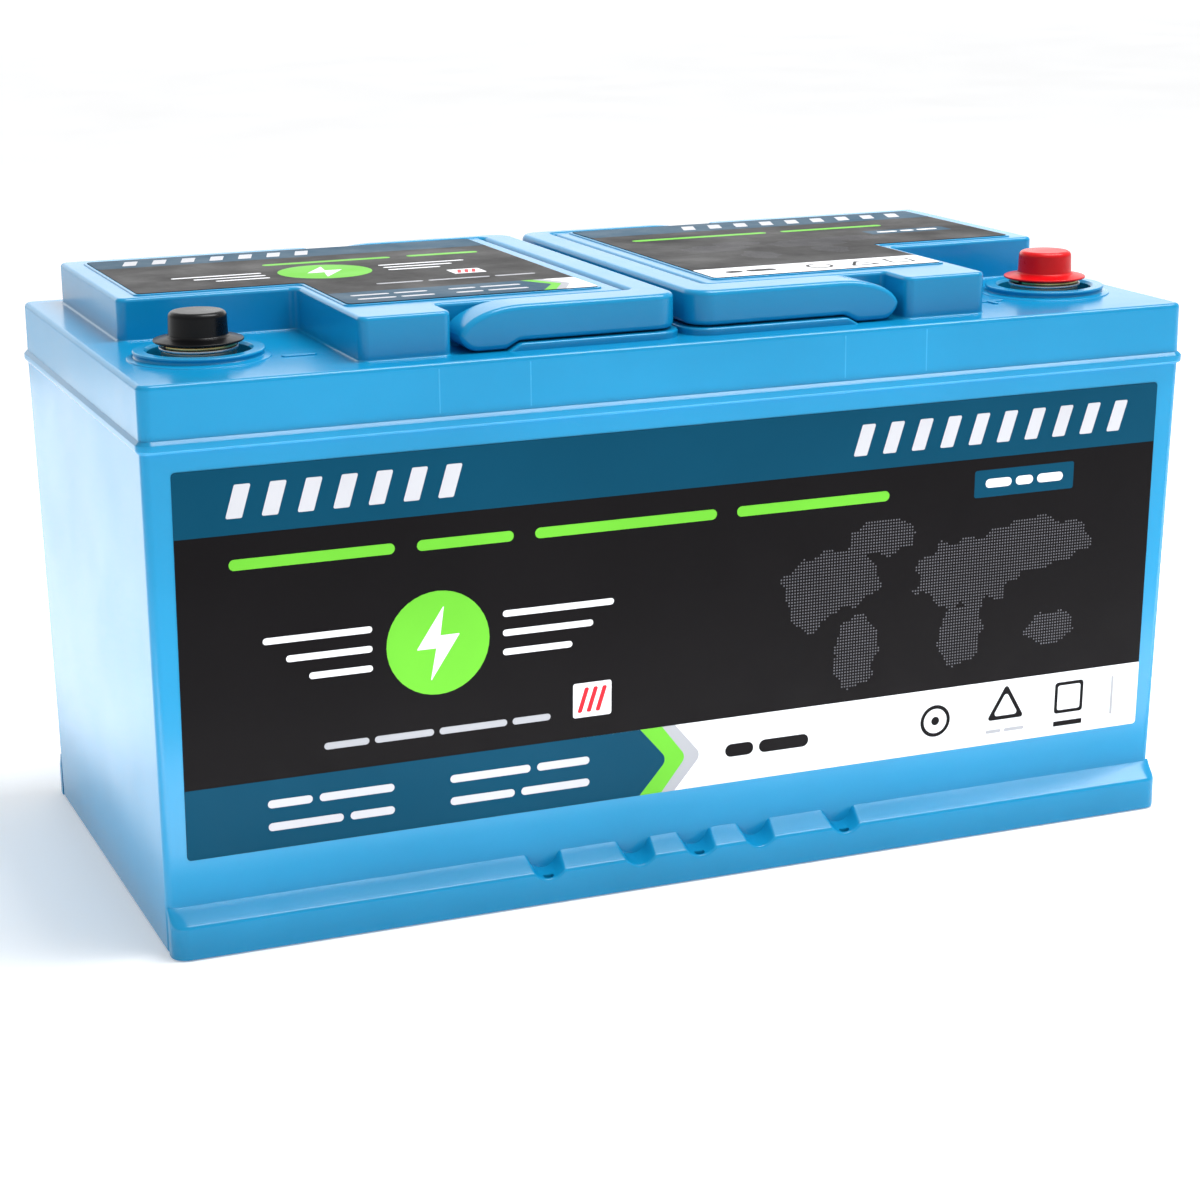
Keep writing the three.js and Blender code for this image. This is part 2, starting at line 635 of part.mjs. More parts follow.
function buildNegativeCellLead() {
  const x = studX(-1, true);
  const cable = tubeAlong(
    [
      [x, -rowY - 6.8, LINK.bottom + 3.5],
      [x, -rowY - 14, LINK.bottom + 5],
      [x + 6, -50, 139],
      [x + 20, -56, 147],
      [-108, -44, 151],
      [-98, -32, 150],
      [-90, -30, 148.3],
    ],
    3.2,
    18,
  );
  return union(cellLug(x, -rowY), cable, box(-94, -86, -34, -26, PAD_HEIGHT + REST_GAP, PAD_HEIGHT + 2.4));
}

function buildNegativeOutputLead() {
  const cable = tubeAlong(
    [
      tonguePoint(-TERMINAL.x, 50, 19, 160.7),
      tonguePoint(-TERMINAL.x, 50, 25, 160.4),
      [-124, -14, 157],
      [-113, 5, 152.5],
      [-100, 14, 149.8],
      [-90, 15, 148.3],
    ],
    3.2,
    16,
  );
  const end = box(-94, -86, 11, 19, PAD_HEIGHT + REST_GAP, PAD_HEIGHT + 2.4);
  return union(postLug(-TERMINAL.x, 50), cable, end);
}

function buildPositiveOutputLead() {
  const x = studX(-1, true);
  const cable = tubeAlong(
    [
      [x, rowY + 6.8, LINK.bottom + 3.5],
      [x, rowY + 14, LINK.bottom + 5],
      [x + 2, 56, 138],
      [-118, 70, 147],
      [-60, 72, 151],
      [0, 72, 152],
      [60, 72, 151],
      [130, 66, 150],
      [154, 40, 152],
      [157, 6, 156],
      tonguePoint(TERMINAL.x, 80, 27, 160.2),
      tonguePoint(TERMINAL.x, 80, 19, 160.7),
    ],
    3.2,
    34,
  );
  return union(cellLug(x, rowY), cable, postLug(TERMINAL.x, 80));
}

function buildSenseHarness() {
  return tubeAlong(
    [
      [45, 40.5, 148],
      [45, 50, 147.5],
      [60, 58, 145],
      [100, 60, 142.6],
      [152.5, 45, 141],
      [155.5, 20, 137],
      [151, 5, 132],
      [146, 2, LINK.bottom + LINK.thickness + 1.9],
    ],
    1.6,
    18,
  );
}
add("negative_cell_lead", buildNegativeCellLead(), cableSleeve(0x161616));
add("negative_output_lead", buildNegativeOutputLead(), cableSleeve(0x161616));
add("positive_output_lead", buildPositiveOutputLead(), cableSleeve(0xb81f1f));
add("sense_harness", buildSenseHarness(), cableSleeve(0xd8d8d0));

export default root;
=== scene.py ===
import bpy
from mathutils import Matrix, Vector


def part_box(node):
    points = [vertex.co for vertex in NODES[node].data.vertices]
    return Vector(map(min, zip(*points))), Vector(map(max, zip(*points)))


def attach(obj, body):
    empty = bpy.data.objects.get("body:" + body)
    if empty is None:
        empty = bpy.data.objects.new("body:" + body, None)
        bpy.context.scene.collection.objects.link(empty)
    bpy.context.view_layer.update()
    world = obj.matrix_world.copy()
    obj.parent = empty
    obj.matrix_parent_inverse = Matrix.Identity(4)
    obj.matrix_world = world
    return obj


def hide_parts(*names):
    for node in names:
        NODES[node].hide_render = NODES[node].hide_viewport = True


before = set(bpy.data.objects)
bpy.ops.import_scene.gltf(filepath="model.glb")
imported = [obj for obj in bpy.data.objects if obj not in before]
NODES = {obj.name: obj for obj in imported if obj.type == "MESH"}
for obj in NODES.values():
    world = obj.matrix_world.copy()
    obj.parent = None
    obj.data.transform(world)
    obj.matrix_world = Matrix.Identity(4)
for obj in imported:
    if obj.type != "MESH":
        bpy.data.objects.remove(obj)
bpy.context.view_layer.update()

import math

import bmesh
import bpy
from mathutils import Matrix, Vector

# A 12 V deep cycle battery in a blue moulded case.
# Lengths are millimetres until raw_object() and Sheet.done() scale them to metres.
MM = 0.001
HOUSING = "housing"


def top_corner(node):
    """The highest corner of a CAD node's box in millimetres."""
    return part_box(node)[1] / MM


HALF_X, HALF_Y = top_corner("lid").x, top_corner("lid").y  # 176.5 and 87.5
RIM_TOP = top_corner("case").z  # 159.7
RIM_BOTTOM = RIM_TOP - 3.6
FOOT = (173.7, 80.0)  # half sizes of the wall at the base
SHOULDER = (175.4, 85.8)  # and under the rim
WALL = 3.0
WALL_ROUND, RIM_ROUND, SKIRT_ROUND = 2.8, 4.2, 4.8  # radii of the upright corners
SKIRT_INSET = 1.1  # the rim stands proud of the lid's skirt
DECK = 175.9
BLOCK_TOP = 189.35
PLATEAU_TOP = 189.72  # the low step on a block that carries its label
LABEL_TOP = top_corner("lid").z + 0.3  # 190.0
# Each raised block is an L with a cable bay cut out of its front, and a port at each end of its handle.
PORT_X, BAY_X, BAY_Y, END_X = 77.0, 106.0, -9.8, 163.5
FRONT_Y, BACK_Y = -76.3, 79.8
PANEL_FRONT, PANEL_BACK, PANEL_X = -60.3, 72.6, 14.0  # the part between a handle's arms
ARM_FRONT, ARM_BACK = (-76.2, -61.3), (73.6, 79.8)
PIVOT_X, PIVOT_Z = 68.3, 182.5
PIN_R, PIVOT_HOLE_R = 3.0, 3.25
TERMINAL_X, TERMINAL_Y = 147.0, -45.0
MERGE = 1e-4  # vertices closer than this are one
JOIN_MERGE = 2e-3  # and where a span meets its tower
SQUARE = 0.01  # the radius of a corner that stays sharp


# ------------------------------------------------------------------ geometry helpers
def contour(corners, inset=0.0, steps=6):
    """Points of a counter-clockwise outline of (x, y, radius) corners, moved inwards by inset."""
    points = []
    count = len(corners)
    for i, (x, y, radius) in enumerate(corners):
        here = Vector((x, y))
        before = Vector(corners[i - 1][:2])
        after = Vector(corners[(i + 1) % count][:2])
        d1, d2 = (here - before).normalized(), (after - here).normalized()
        n1, n2 = Vector((-d1.y, d1.x)), Vector((-d2.y, d2.x))
        turn = 1.0 if d1.cross(d2) >= 0 else -1.0
        reach = max(radius, 0.001) / (1 + n1.dot(n2))
        centre = here + (n1 + n2) * reach * turn
        size = radius - inset * turn
        if size <= 0:
            points += [here + (n1 + n2) * inset / (1 + n1.dot(n2))] * (steps + 1)
            continue
        a1 = math.atan2(n1.y, n1.x)
        sweep = (math.atan2(n2.y, n2.x) - a1 + math.pi) % (2 * math.pi) - math.pi
        for k in range(steps + 1):
            a = a1 + sweep * k / steps
            points.append(centre - Vector((math.cos(a), math.sin(a))) * size * turn)
    return points


def mirrored(corners):
    """The same outline on the other side of x = 0, still counter-clockwise."""
    return [(-x, y, r) for x, y, r in reversed(corners)]


def rectangle(x0, x1, y0, y1, radius):
    return [(x0, y0, radius), (x1, y0, radius), (x1, y1, radius), (x0, y1, radius)]


def skin(bm, rings, first=True):
    """Joins rings of points into a tube, closed at its last end and, unless told not to, at its first."""
    loops = [[bm.verts.new(p) for p in ring] for ring in rings]
    for a, b in zip(loops, loops[1:]):
        for i in range(len(a)):
            j = (i + 1) % len(a)
            bm.faces.new((a[i], a[j], b[j], b[i]))
    if first:
        bm.faces.new(loops[0][::-1])
    bm.faces.new(loops[-1])


def tower(bm, corners, z0, z1, top=1.0, bottom=0.3, steps=6, arc=5, flare=0.0, foot=0.0):
    """An upright prism of the outline with rounded top and bottom edges.

    With a flare, its sides spread outwards in a fillet where they meet z = foot instead.
    """
    layers = []
    if flare:
        layers.append((-flare, z0))
        bottom = -flare
    for k in range(arc + 1):
        a = math.pi / 2 * k / arc
        start = foot if flare else z0
        layers.append((bottom * (1 - math.sin(a)), start + abs(bottom) * (1 - math.cos(a))))
    for k in range(arc + 1):
        a = math.pi / 2 * k / arc
        layers.append((top * (1 - math.cos(a)), z1 - top * (1 - math.sin(a))))
    rings = [[(p.x, p.y, z) for p in contour(corners, inset, steps)] for inset, z in layers]
    skin(bm, rings)


def lathe(bm, corners, x=0.0, y=0.0, sides=96, arc=4):
    """A closed (radius, z, rounding) profile turned about an upright axis at x, y."""
    profile = contour(corners, 0.0, arc)
    rings = []
    for k in range(sides):
        c, s = math.cos(2 * math.pi * k / sides), math.sin(2 * math.pi * k / sides)
        rings.append([bm.verts.new((x + max(p.x, 0) * c, y + max(p.x, 0) * s, p.y)) for p in profile])
    for k in range(sides):
        a, b = rings[k], rings[(k + 1) % sides]
        for i in range(len(a)):
            j = (i + 1) % len(a)
            bm.faces.new((a[i], b[i], b[j], a[j]))


def trim(bm, x, side):
    """Removes what lies beyond the plane at x, on the given side, and leaves the cut open."""
    bmesh.ops.remove_doubles(bm, verts=bm.verts, dist=MERGE)
    bmesh.ops.triangulate(bm, faces=[face for face in bm.faces if len(face.verts) > 4])
    bmesh.ops.bisect_plane(
        bm, geom=bm.verts[:] + bm.edges[:] + bm.faces[:], dist=MERGE / 10,
        plane_co=(x, 0, 0), plane_no=(side, 0, 0), clear_outer=True,
    )


def add_span(bm, profile, x, side, y0, y1, edge, arc):
    """Joins to bm a bar along Y with rounded sides, cut off square at x.

    The profile function gives the bar's ring of (x, z) points, moved in by its argument.
    """
    turns = [math.pi / 2 * k / arc for k in range(arc + 1)]
    stations = [(edge * (1 - math.sin(a)), y0 + edge * (1 - math.cos(a))) for a in turns]
    stations += [(edge * (1 - math.cos(a)), y1 - edge * (1 - math.sin(a))) for a in turns]
    span = bmesh.new()
    skin(span, [[(px, y, pz) for px, pz in profile(inset)] for inset, y in stations])
    trim(span, x, -side)
    mesh = bpy.data.meshes.new("span")
    span.to_mesh(mesh)
    span.free()
    bm.from_mesh(mesh)
    bpy.data.meshes.remove(mesh)
    bmesh.ops.remove_doubles(bm, verts=bm.verts, dist=JOIN_MERGE)


def rod_y(bm, x, z, ends, sides=40):
    """A round bar along Y through (x, z), from (y, radius) stations."""
    circle = [2 * math.pi * k / sides for k in range(sides)]
    skin(bm, [[(x + r * math.cos(a), y, z + r * math.sin(a)) for a in circle] for y, r in ends])


def raw_object(name, bm):
    """The bmesh, in millimetres, as an object in metres."""
    bmesh.ops.remove_doubles(bm, verts=bm.verts, dist=MERGE)
    bmesh.ops.recalc_face_normals(bm, faces=bm.faces)
    bmesh.ops.scale(bm, vec=(MM, MM, MM), verts=bm.verts)
    mesh = bpy.data.meshes.new(name)
    bm.to_mesh(mesh)
    bm.free()
    obj = bpy.data.objects.new(name, mesh)
    bpy.context.scene.collection.objects.link(obj)
    return obj


def carve(obj, cutters):
    """Cuts the cutters out of obj and deletes them."""
    for cutter in cutters:
        modifier = obj.modifiers.new("cut", "BOOLEAN")
        modifier.operation, modifier.solver, modifier.object = "DIFFERENCE", "EXACT", cutter
    graph = bpy.context.evaluated_depsgraph_get()
    mesh = bpy.data.meshes.new_from_object(obj.evaluated_get(graph))
    obj.modifiers.clear()
    obj.data = mesh
    for cutter in cutters:
        bpy.data.objects.remove(cutter)


def finish_piece(obj, materials, body=HOUSING, replaces=(), sharp=34.0):
    """Smooth shading with sharp creases, and the piece's materials, slot, body and replaced nodes."""
    bm = bmesh.new()
    bm.from_mesh(obj.data)
    for face in bm.faces:
        face.smooth = True
    for edge in bm.edges:
        flat = len(edge.link_faces) == 2 and edge.calc_face_angle(0.0) < math.radians(sharp)
        edge.smooth = flat
    bm.to_mesh(obj.data)
    bm.free()
    for material in materials if isinstance(materials, list) else [materials]:
        obj.data.materials.append(material)
    weighted = obj.modifiers.new("shading", "WEIGHTED_NORMAL")
    weighted.keep_sharp = True
    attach(obj, body)
    if replaces:
        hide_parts(*replaces)


# ------------------------------------------------------------------ materials
def srgb(red, green, blue):
    """A display colour, 0 to 255, as linear RGBA."""
    return tuple(c / 12.92 if c <= 0.04045 else ((c + 0.055) / 1.055) ** 2.4
                 for c in (red / 255, green / 255, blue / 255)) + (1.0,)


def surface(name, colour, rough, vary=0.06, mottle=40.0, metallic=0.0, grain=900.0, grain_mm=0.02,
            wave=25.0, wave_mm=0.0, streak=None, scuff=0.0, sheen=0.0, specular=0.5):
    """A procedural material: mottled colour, uneven gloss, fine grain, slow waves and scuffs.

    mottle, grain and wave are how many features there are in a metre.
    """
    material = bpy.data.materials.new(name)
    material.use_nodes = True
    tree = material.node_tree
    new, link = tree.nodes.new, tree.links.new
    shader = tree.nodes["Principled BSDF"]
    shader.inputs["Metallic"].default_value = metallic
    shader.inputs["Sheen Weight"].default_value = sheen
    shader.inputs["Specular IOR Level"].default_value = specular
    place = new("ShaderNodeTexCoord").outputs["Object"]
    if streak:
        squeeze = new("ShaderNodeMapping")
        squeeze.inputs["Scale"].default_value = streak
        link(place, squeeze.inputs["Vector"])
        place = squeeze.outputs["Vector"]

    def noise(scale, detail, roughness=0.5):
        node = new("ShaderNodeTexNoise")
        node.inputs["Scale"].default_value = scale
        node.inputs["Detail"].default_value = detail
        node.inputs["Roughness"].default_value = roughness
        link(place, node.inputs["Vector"])
        return node.outputs["Fac"]

    def spread(value, low, high, out_low, out_high):
        node = new("ShaderNodeMapRange")
        ends = {"From Min": low, "From Max": high, "To Min": out_low, "To Max": out_high}
        for key, number in ends.items():
            node.inputs[key].default_value = number
        link(value, node.inputs["Value"])
        return node.outputs["Result"]

    def mix(factor, first, second):
        node = new("ShaderNodeMix")
        node.data_type = "RGBA"
        link(factor, node.inputs["Factor"])
        for socket, value in ((node.inputs["A"], first), (node.inputs["B"], second)):
            if isinstance(value, tuple):
                socket.default_value = value
            else:
                link(value, socket)
        return node.outputs["Result"]

    dark = tuple(c * (1 - vary) for c in colour[:3]) + (1.0,)
    light = tuple(min(1.0, c * (1 + vary) + 0.01 * vary) for c in colour[:3]) + (1.0,)
    shade = mix(spread(noise(mottle, 4.0), 0.35, 0.65, 0.0, 1.0), dark, light)
    gloss = spread(noise(mottle * 1.7, 6.0, 0.65), 0.3, 0.7, rough * 0.82, rough * 1.22)
    if scuff > 0:
        marks = spread(noise(mottle * 9, 8.0, 0.75), 0.66, 0.78, 0.0, scuff)
        pale = tuple(0.7 * c + 0.3 for c in colour[:3]) + (1.0,)
        shade = mix(marks, shade, pale)
        rougher = new("ShaderNodeMath")
        rougher.operation = "MULTIPLY_ADD"
        rougher.inputs[1].default_value = 0.5
        link(marks, rougher.inputs[0])
        link(gloss, rougher.inputs[2])
        gloss = rougher.outputs["Value"]
    link(shade, shader.inputs["Base Color"])
    link(gloss, shader.inputs["Roughness"])
    fine = new("ShaderNodeBump")
    fine.inputs["Strength"].default_value = 1.0
    fine.inputs["Distance"].default_value = grain_mm * MM
    link(noise(grain, 3.0), fine.inputs["Height"])
    if wave_mm > 0:
        slow = new("ShaderNodeBump")
        slow.inputs["Strength"].default_value = 1.0
        slow.inputs["Distance"].default_value = wave_mm * MM
        link(noise(wave, 2.0), slow.inputs["Height"])
        link(slow.outputs["Normal"], fine.inputs["Normal"])
    link(fine.outputs["Normal"], shader.inputs["Normal"])
    return material


BLUE = surface(
    "blue_moulded_plastic", srgb(12, 139, 189), 0.2, vary=0.05, mottle=14, grain=1400, grain_mm=0.008,
    wave=28, wave_mm=0.08, scuff=0.08, specular=0.35,
)
# Paler blue for the skirt's raised mould lines: a painted highlight, not a colour of the plastic.
BLUE_PAINTED_HIGHLIGHT = surface("blue_seam_painted_highlight", srgb(50, 157, 205), 0.24, specular=0.28)
CAP = {"grain": 1500, "grain_mm": 0.02, "scuff": 0.05}
BLACK_CAP = surface("black_moulded_plastic", srgb(3, 3, 5), 0.3, vary=0.15, specular=0.22, **CAP)
RED_CAP = surface("red_moulded_plastic", srgb(206, 6, 16), 0.3, vary=0.06, specular=0.25, **CAP)
PLATED = {"metallic": 1.0, "grain": 1800, "grain_mm": 0.02}
ZINC = surface("bright_zinc", srgb(196, 199, 204), 0.26, scuff=0.1, **PLATED)
YELLOW_ZINC = surface("yellow_zinc", srgb(196, 170, 112), 0.3, vary=0.25, mottle=160, **PLATED)
TIN = surface("tinned_brass", srgb(190, 186, 172), 0.32, vary=0.1, metallic=1.0, grain=1500)
SEAL = surface("seal_rubber", srgb(20, 20, 22), 0.75, grain_mm=0.03, sheen=0.1)
CELL = surface("cell_wrap", srgb(40, 92, 160), 0.35, vary=0.1, metallic=0.4, wave=60, wave_mm=0.08)
FOAM = surface(
    "packing_foam", srgb(46, 46, 50), 0.95, vary=0.2, mottle=300, grain=1200, grain_mm=0.25, sheen=0.3
)
FIBRE = surface(
    "fibre_sheet", srgb(206, 208, 190), 0.6, vary=0.1, mottle=120, grain_mm=0.05, streak=(1, 6, 1)
)
STRAP = surface("strap_steel", srgb(170, 172, 178), 0.3, metallic=1.0, streak=(0.2, 1, 6))
COPPER = surface(
    "copper_bar", srgb(200, 126, 84), 0.3, vary=0.18, mottle=90, metallic=1.0, streak=(0.4, 4, 1)
)
BOARD = surface("circuit_board", srgb(24, 92, 52), 0.4, vary=0.2, mottle=260, grain=1400, grain_mm=0.05)
HEAT_SINK = surface(
    "heat_sink", srgb(178, 181, 186), 0.38, metallic=1.0, grain_mm=0.03, streak=(0.3, 6, 6)
)
BLACK_CABLE = surface("black_cable", srgb(22, 22, 24), 0.55, vary=0.1, grain_mm=0.03)
RED_CABLE = surface("red_cable", srgb(170, 26, 28), 0.55, vary=0.1, grain_mm=0.03)
WHITE_CABLE = surface("white_cable", srgb(214, 213, 204), 0.55, grain_mm=0.03)
FLOOR = surface("pale_floor", srgb(246, 247, 248), 0.6, vary=0.01, mottle=3, grain=300, grain_mm=0.05)
floor_shader = FLOOR.node_tree.nodes["Principled BSDF"]
floor_shader.inputs["Emission Color"].default_value = (1.0, 1.0, 1.0, 1.0)
floor_shader.inputs["Emission Strength"].default_value = 0.2


def ink(name, colour):
    """A printed colour under clear film: satin, with the film's faint ripples."""
    return surface(
        name, colour, 0.4, vary=0.04, mottle=22, grain=1600, grain_mm=0.006, wave=75, wave_mm=0.05,
        specular=0.06,
    )


INK_BLACK = ink("print_black", srgb(14, 12, 14))
INK_TEAL = ink("print_teal", srgb(0, 66, 92))
INK_GREEN = ink("print_green", srgb(106, 192, 56))
INK_WHITE = ink("print_white", srgb(236, 238, 242))
INK_PALE = ink("print_pale_grey", srgb(196, 197, 203))
INK_GREY = ink("print_grey", srgb(168, 170, 176))
INK_DOT = ink("print_dark_grey", srgb(98, 98, 104))
INK_RED = ink("print_red", srgb(206, 40, 52))
INKS = [INK_BLACK, INK_TEAL, INK_GREEN, INK_WHITE, INK_PALE, INK_GREY, INK_DOT, INK_RED]
BLACK_I, TEAL_I, GREEN_I, WHITE_I, PALE_I, GREY_I, DOT_I, RED_I = range(len(INKS))


# ------------------------------------------------------------------ case
def wall_half(axis, z):
    """Half the case's length (axis 0) or width (axis 1) at height z: the walls lean out towards the rim."""
    return FOOT[axis] + (SHOULDER[axis] - FOOT[axis]) * z / RIM_BOTTOM


def outline_ring(x, y, radius, z, inset):
    """Points round a rectangle of half sizes x and y at height z, moved in by inset."""
    return [(p.x, p.y, z) for p in contour(rectangle(-x, x, -y, y, radius), inset, 8)]


def wall_ring(z, inset):
    return outline_ring(wall_half(0, z), wall_half(1, z), WALL_ROUND, z, inset)


def rim_ring(z, inset):
    return outline_ring(HALF_X, HALF_Y, RIM_ROUND, z, inset)


def build_case():
    """The hollow case, from its rounded foot up to the chamfered rim that the lid's skirt stands on."""
    outside = [wall_ring(z, inset) for z, inset in ((0, 0.8), (0.25, 0.25), (0.8, 0))]
    outside += [wall_ring(z, 0) for z in (15, 60, 110, RIM_BOTTOM - 0.6)]
    outside += [wall_ring(RIM_BOTTOM - 0.2, -0.15), wall_ring(RIM_BOTTOM, -0.6)]
    rounded = ((0.0, 0.9), (0.15, 0.35), (0.5, 0.08), (0.9, 0.0))
    chamfered = ((1.2, 0.0), (1.05, 0.05), (0.12, 0.98), (0.0, 1.15), (0.0, WALL))
    rim = [rim_ring(RIM_BOTTOM + rise, inset) for rise, inset in rounded]
    rim += [rim_ring(RIM_TOP - drop, inset) for drop, inset in chamfered]
    inside = [wall_ring(RIM_BOTTOM, WALL), wall_ring(WALL, WALL)]
    bm = bmesh.new()
    skin(bm, outside + rim + inside)
    finish_piece(raw_object("case_shell", bm), BLUE, replaces=["case"])


# The ledge's top slopes from its lip up to the wall, and five notches cross it.
LEDGE_LIP, LEDGE_TOP, LEDGE_END, LEDGE_ROUND, LIP_ROUND = 10.5, 15.3, 173.7, 5.0, 0.8
NOTCHES = (-52.5, -21.3, 0.0, 21.3, 52.5)
NOTCH_FLOOR, NOTCH_RISE, NOTCH_ROUND, NOTCH_WALL, NOTCH_REACH = 8.1, 2.0, 5.0, 4.7, 7.6
NOTCH_BLEND = 2.6  # softens the shoulder where a notch runs out into the top
SLOT_Y, SLOT_HALF_X, SLOT_HALF_Y, SLOT_ROUND = 85.5, 1.8, 0.85, 0.8
SLOT_LOW, SLOT_HIGH = 5.0, 11.0


def smooth_min(a, b, blend):
    h = max(blend - abs(a - b), 0.0) / blend
    return min(a, b) - h * h * blend / 4


def notch_height(dx):
    """Height of a notch at its front, dx from its middle: a round floor, then steep straight sides."""
    t = min(abs(dx), NOTCH_WALL)
    bottom = NOTCH_FLOOR + NOTCH_ROUND - math.sqrt(NOTCH_ROUND ** 2 - t * t)
    slope = NOTCH_WALL / math.sqrt(NOTCH_ROUND ** 2 - NOTCH_WALL ** 2)
    return bottom + slope * (abs(dx) - t)


def ledge_columns():
    """Where the ledge's sections stand along it: close together in the notches and round the ends."""
    columns = set()
    for k in range(9):
        x = LEDGE_END - LEDGE_ROUND * (1 - math.sin(math.pi / 2 * k / 8))
        columns |= {round(x, 3), round(-x, 3)}
    for centre in NOTCHES:
        columns |= {round(centre + NOTCH_REACH * k / 20, 3) for k in range(-20, 21)}
    return sorted(columns)


def ledge_profile(x):
    """The ledge's section at x, from the foot up its face and over its rounded lip and top to the wall."""
    over = max(0.0, abs(x) - (LEDGE_END - LEDGE_ROUND))
    front = -HALF_Y + LEDGE_ROUND - math.sqrt(max(0.0, LEDGE_ROUND ** 2 - over * over))
    wall = -wall_half(1, LEDGE_TOP) + 0.6
    dx = min(abs(x - centre) for centre in NOTCHES)

    def top(y):
        t = (y - front) / (wall - front)
        plain = LEDGE_LIP + (LEDGE_TOP - LEDGE_LIP) * t
        if dx >= NOTCH_REACH:
            return plain
        return smooth_min(plain, notch_height(dx) + NOTCH_RISE * t, NOTCH_BLEND)

    points = [(front + 0.7, 0.0), (front + 0.2, 0.2), (front, 0.7)]
    lip = front + LIP_ROUND
    for k in range(7):
        a = math.pi - math.pi / 2 * k / 6
        y = lip + LIP_ROUND * math.cos(a)
        points.append((y, top(y) - LIP_ROUND * (1 - math.sin(a))))
    for k in range(1, 7):
        y = lip + (wall - lip) * k / 6
        points.append((y, top(y)))
    return points + [(wall, 0.0)]


def build_ledge(side):
    """The hold-down ledge along one long side, with a small slot in every other notch."""
    bm = bmesh.new()
    skin(bm, [[(x, y, z) for y, z in ledge_profile(x)] for x in ledge_columns()])
    if side > 0:
        bmesh.ops.rotate(bm, verts=bm.verts, matrix=Matrix.Rotation(math.pi, 3, "Z"))
    name = "front_ledge" if side < 0 else "back_ledge"
    ledge = raw_object(name, bm)
    cutters = []
    for x in NOTCHES[::2]:
        y = side * SLOT_Y
        plan = rectangle(x - SLOT_HALF_X, x + SLOT_HALF_X, y - SLOT_HALF_Y, y + SLOT_HALF_Y, SLOT_ROUND)
        cut = bmesh.new()
        tower(cut, plan, SLOT_LOW, SLOT_HIGH, top=0.05, bottom=0.05)
        cutters.append(raw_object("slot_cutter", cut))
    carve(ledge, cutters)
    finish_piece(ledge, BLUE)


build_case()
build_ledge(-1)
build_ledge(1)


# ------------------------------------------------------------------ lid
# A terminal's well: a cup that hangs from the deck inside a raised collar.
COLLAR_TOP, COLLAR_R, COLLAR_FOOT_R = 178.6, 19.95, 22.1
WELL_R, WELL_FLOOR, CUP_R, STEM_R = 15.65, 167.4, 18.6, 8.3
WELL_CUT_R, WELL_CUT_LOW, WELL_CUT_HIGH = 18.0, 170.0, 178.0


def build_lid():
    """The lid's skirt and deck, as a shell, with a round hole for each terminal's well."""
    def ring(z, inset):
        return outline_ring(HALF_X, HALF_Y, SKIRT_ROUND, z, inset + SKIRT_INSET)

    round_top = 1.5
    outside = [ring(RIM_TOP, WALL), ring(RIM_TOP, 0.0)]
    for k in range(7):
        a = math.pi / 2 * k / 6
        outside.append(ring(DECK - round_top * (1 - math.sin(a)), round_top * (1 - math.cos(a))))
    bm = bmesh.new()
    skin(bm, outside, first=False)
    skin(bm, [ring(RIM_TOP, WALL), ring(DECK - WALL, WALL)], first=False)
    lid = raw_object("lid_deck", bm)
    turns = [2 * math.pi * k / 96 for k in range(96)]
    circle = [(WELL_CUT_R * math.cos(a), WELL_CUT_R * math.sin(a)) for a in turns]
    cutters = []
    for side in (-1, 1):
        cut = bmesh.new()
        skin(cut, [
            [(side * TERMINAL_X + x, TERMINAL_Y + y, z) for x, y in circle]
            for z in (WELL_CUT_LOW, WELL_CUT_HIGH)
        ])
        cutters.append(raw_object("well_cutter", cut))
    carve(lid, cutters)
    finish_piece(lid, BLUE, replaces=["lid"])


BLOCK = [
    (END_X, BACK_Y, 3.0), (PORT_X, BACK_Y, 3.0), (PORT_X, PANEL_BACK, 1.5), (PANEL_X, PANEL_BACK, 2.0),
    (PANEL_X, PANEL_FRONT, 2.0), (PORT_X, PANEL_FRONT, 1.5), (PORT_X, FRONT_Y, 3.0), (BAY_X, FRONT_Y, 3.0),
    (BAY_X, BAY_Y, 3.0), (END_X, BAY_Y, 3.0),
]
LABEL_CENTRE, LABEL_BAY, LABEL_END = 20.0, 102.3, 156.0
LABEL_FRONT, LABEL_BAY_Y, LABEL_BACK = -53.0, -4.8, 71.0


def label_outline(grow=0.0, radius=1.5):
    """The top label's L on the positive side, spread outwards by grow."""
    return [
        (LABEL_CENTRE - grow, LABEL_FRONT - grow, radius), (LABEL_BAY + grow, LABEL_FRONT - grow, radius),
        (LABEL_BAY + grow, LABEL_BAY_Y - grow, radius), (LABEL_END + grow, LABEL_BAY_Y - grow, radius),
        (LABEL_END + grow, LABEL_BACK + grow, radius), (LABEL_CENTRE - grow, LABEL_BACK + grow, radius),
    ]


def on_side(corners, side):
    return corners if side > 0 else mirrored(corners)


def build_raised_block(side):
    """A raised block with its two pivot holes, and the low plateau on it that carries the label."""
    word = "left" if side < 0 else "right"
    bm = bmesh.new()
    tower(bm, on_side(BLOCK, side), DECK - 0.4, BLOCK_TOP, top=1.25, flare=0.7, foot=DECK)
    block = raw_object(f"raised_block_{word}", bm)
    cutters = []
    for y0, y1 in ((PANEL_FRONT - 1.0, PANEL_FRONT + 4.5), (PANEL_BACK - 4.5, PANEL_BACK + 1.0)):
        cut = bmesh.new()
        rod_y(cut, side * PIVOT_X, PIVOT_Z, ((y0, PIVOT_HOLE_R), (y1, PIVOT_HOLE_R)))
        cutters.append(raw_object("pivot_cutter", cut))
    carve(block, cutters)
    finish_piece(block, BLUE)
    bm = bmesh.new()
    plan = on_side(label_outline(1.1, 2.2), side)
    tower(bm, plan, BLOCK_TOP - 0.3, PLATEAU_TOP, top=0.28, bottom=0.05, arc=3)
    finish_piece(raw_object(f"label_plateau_{word}", bm), BLUE)


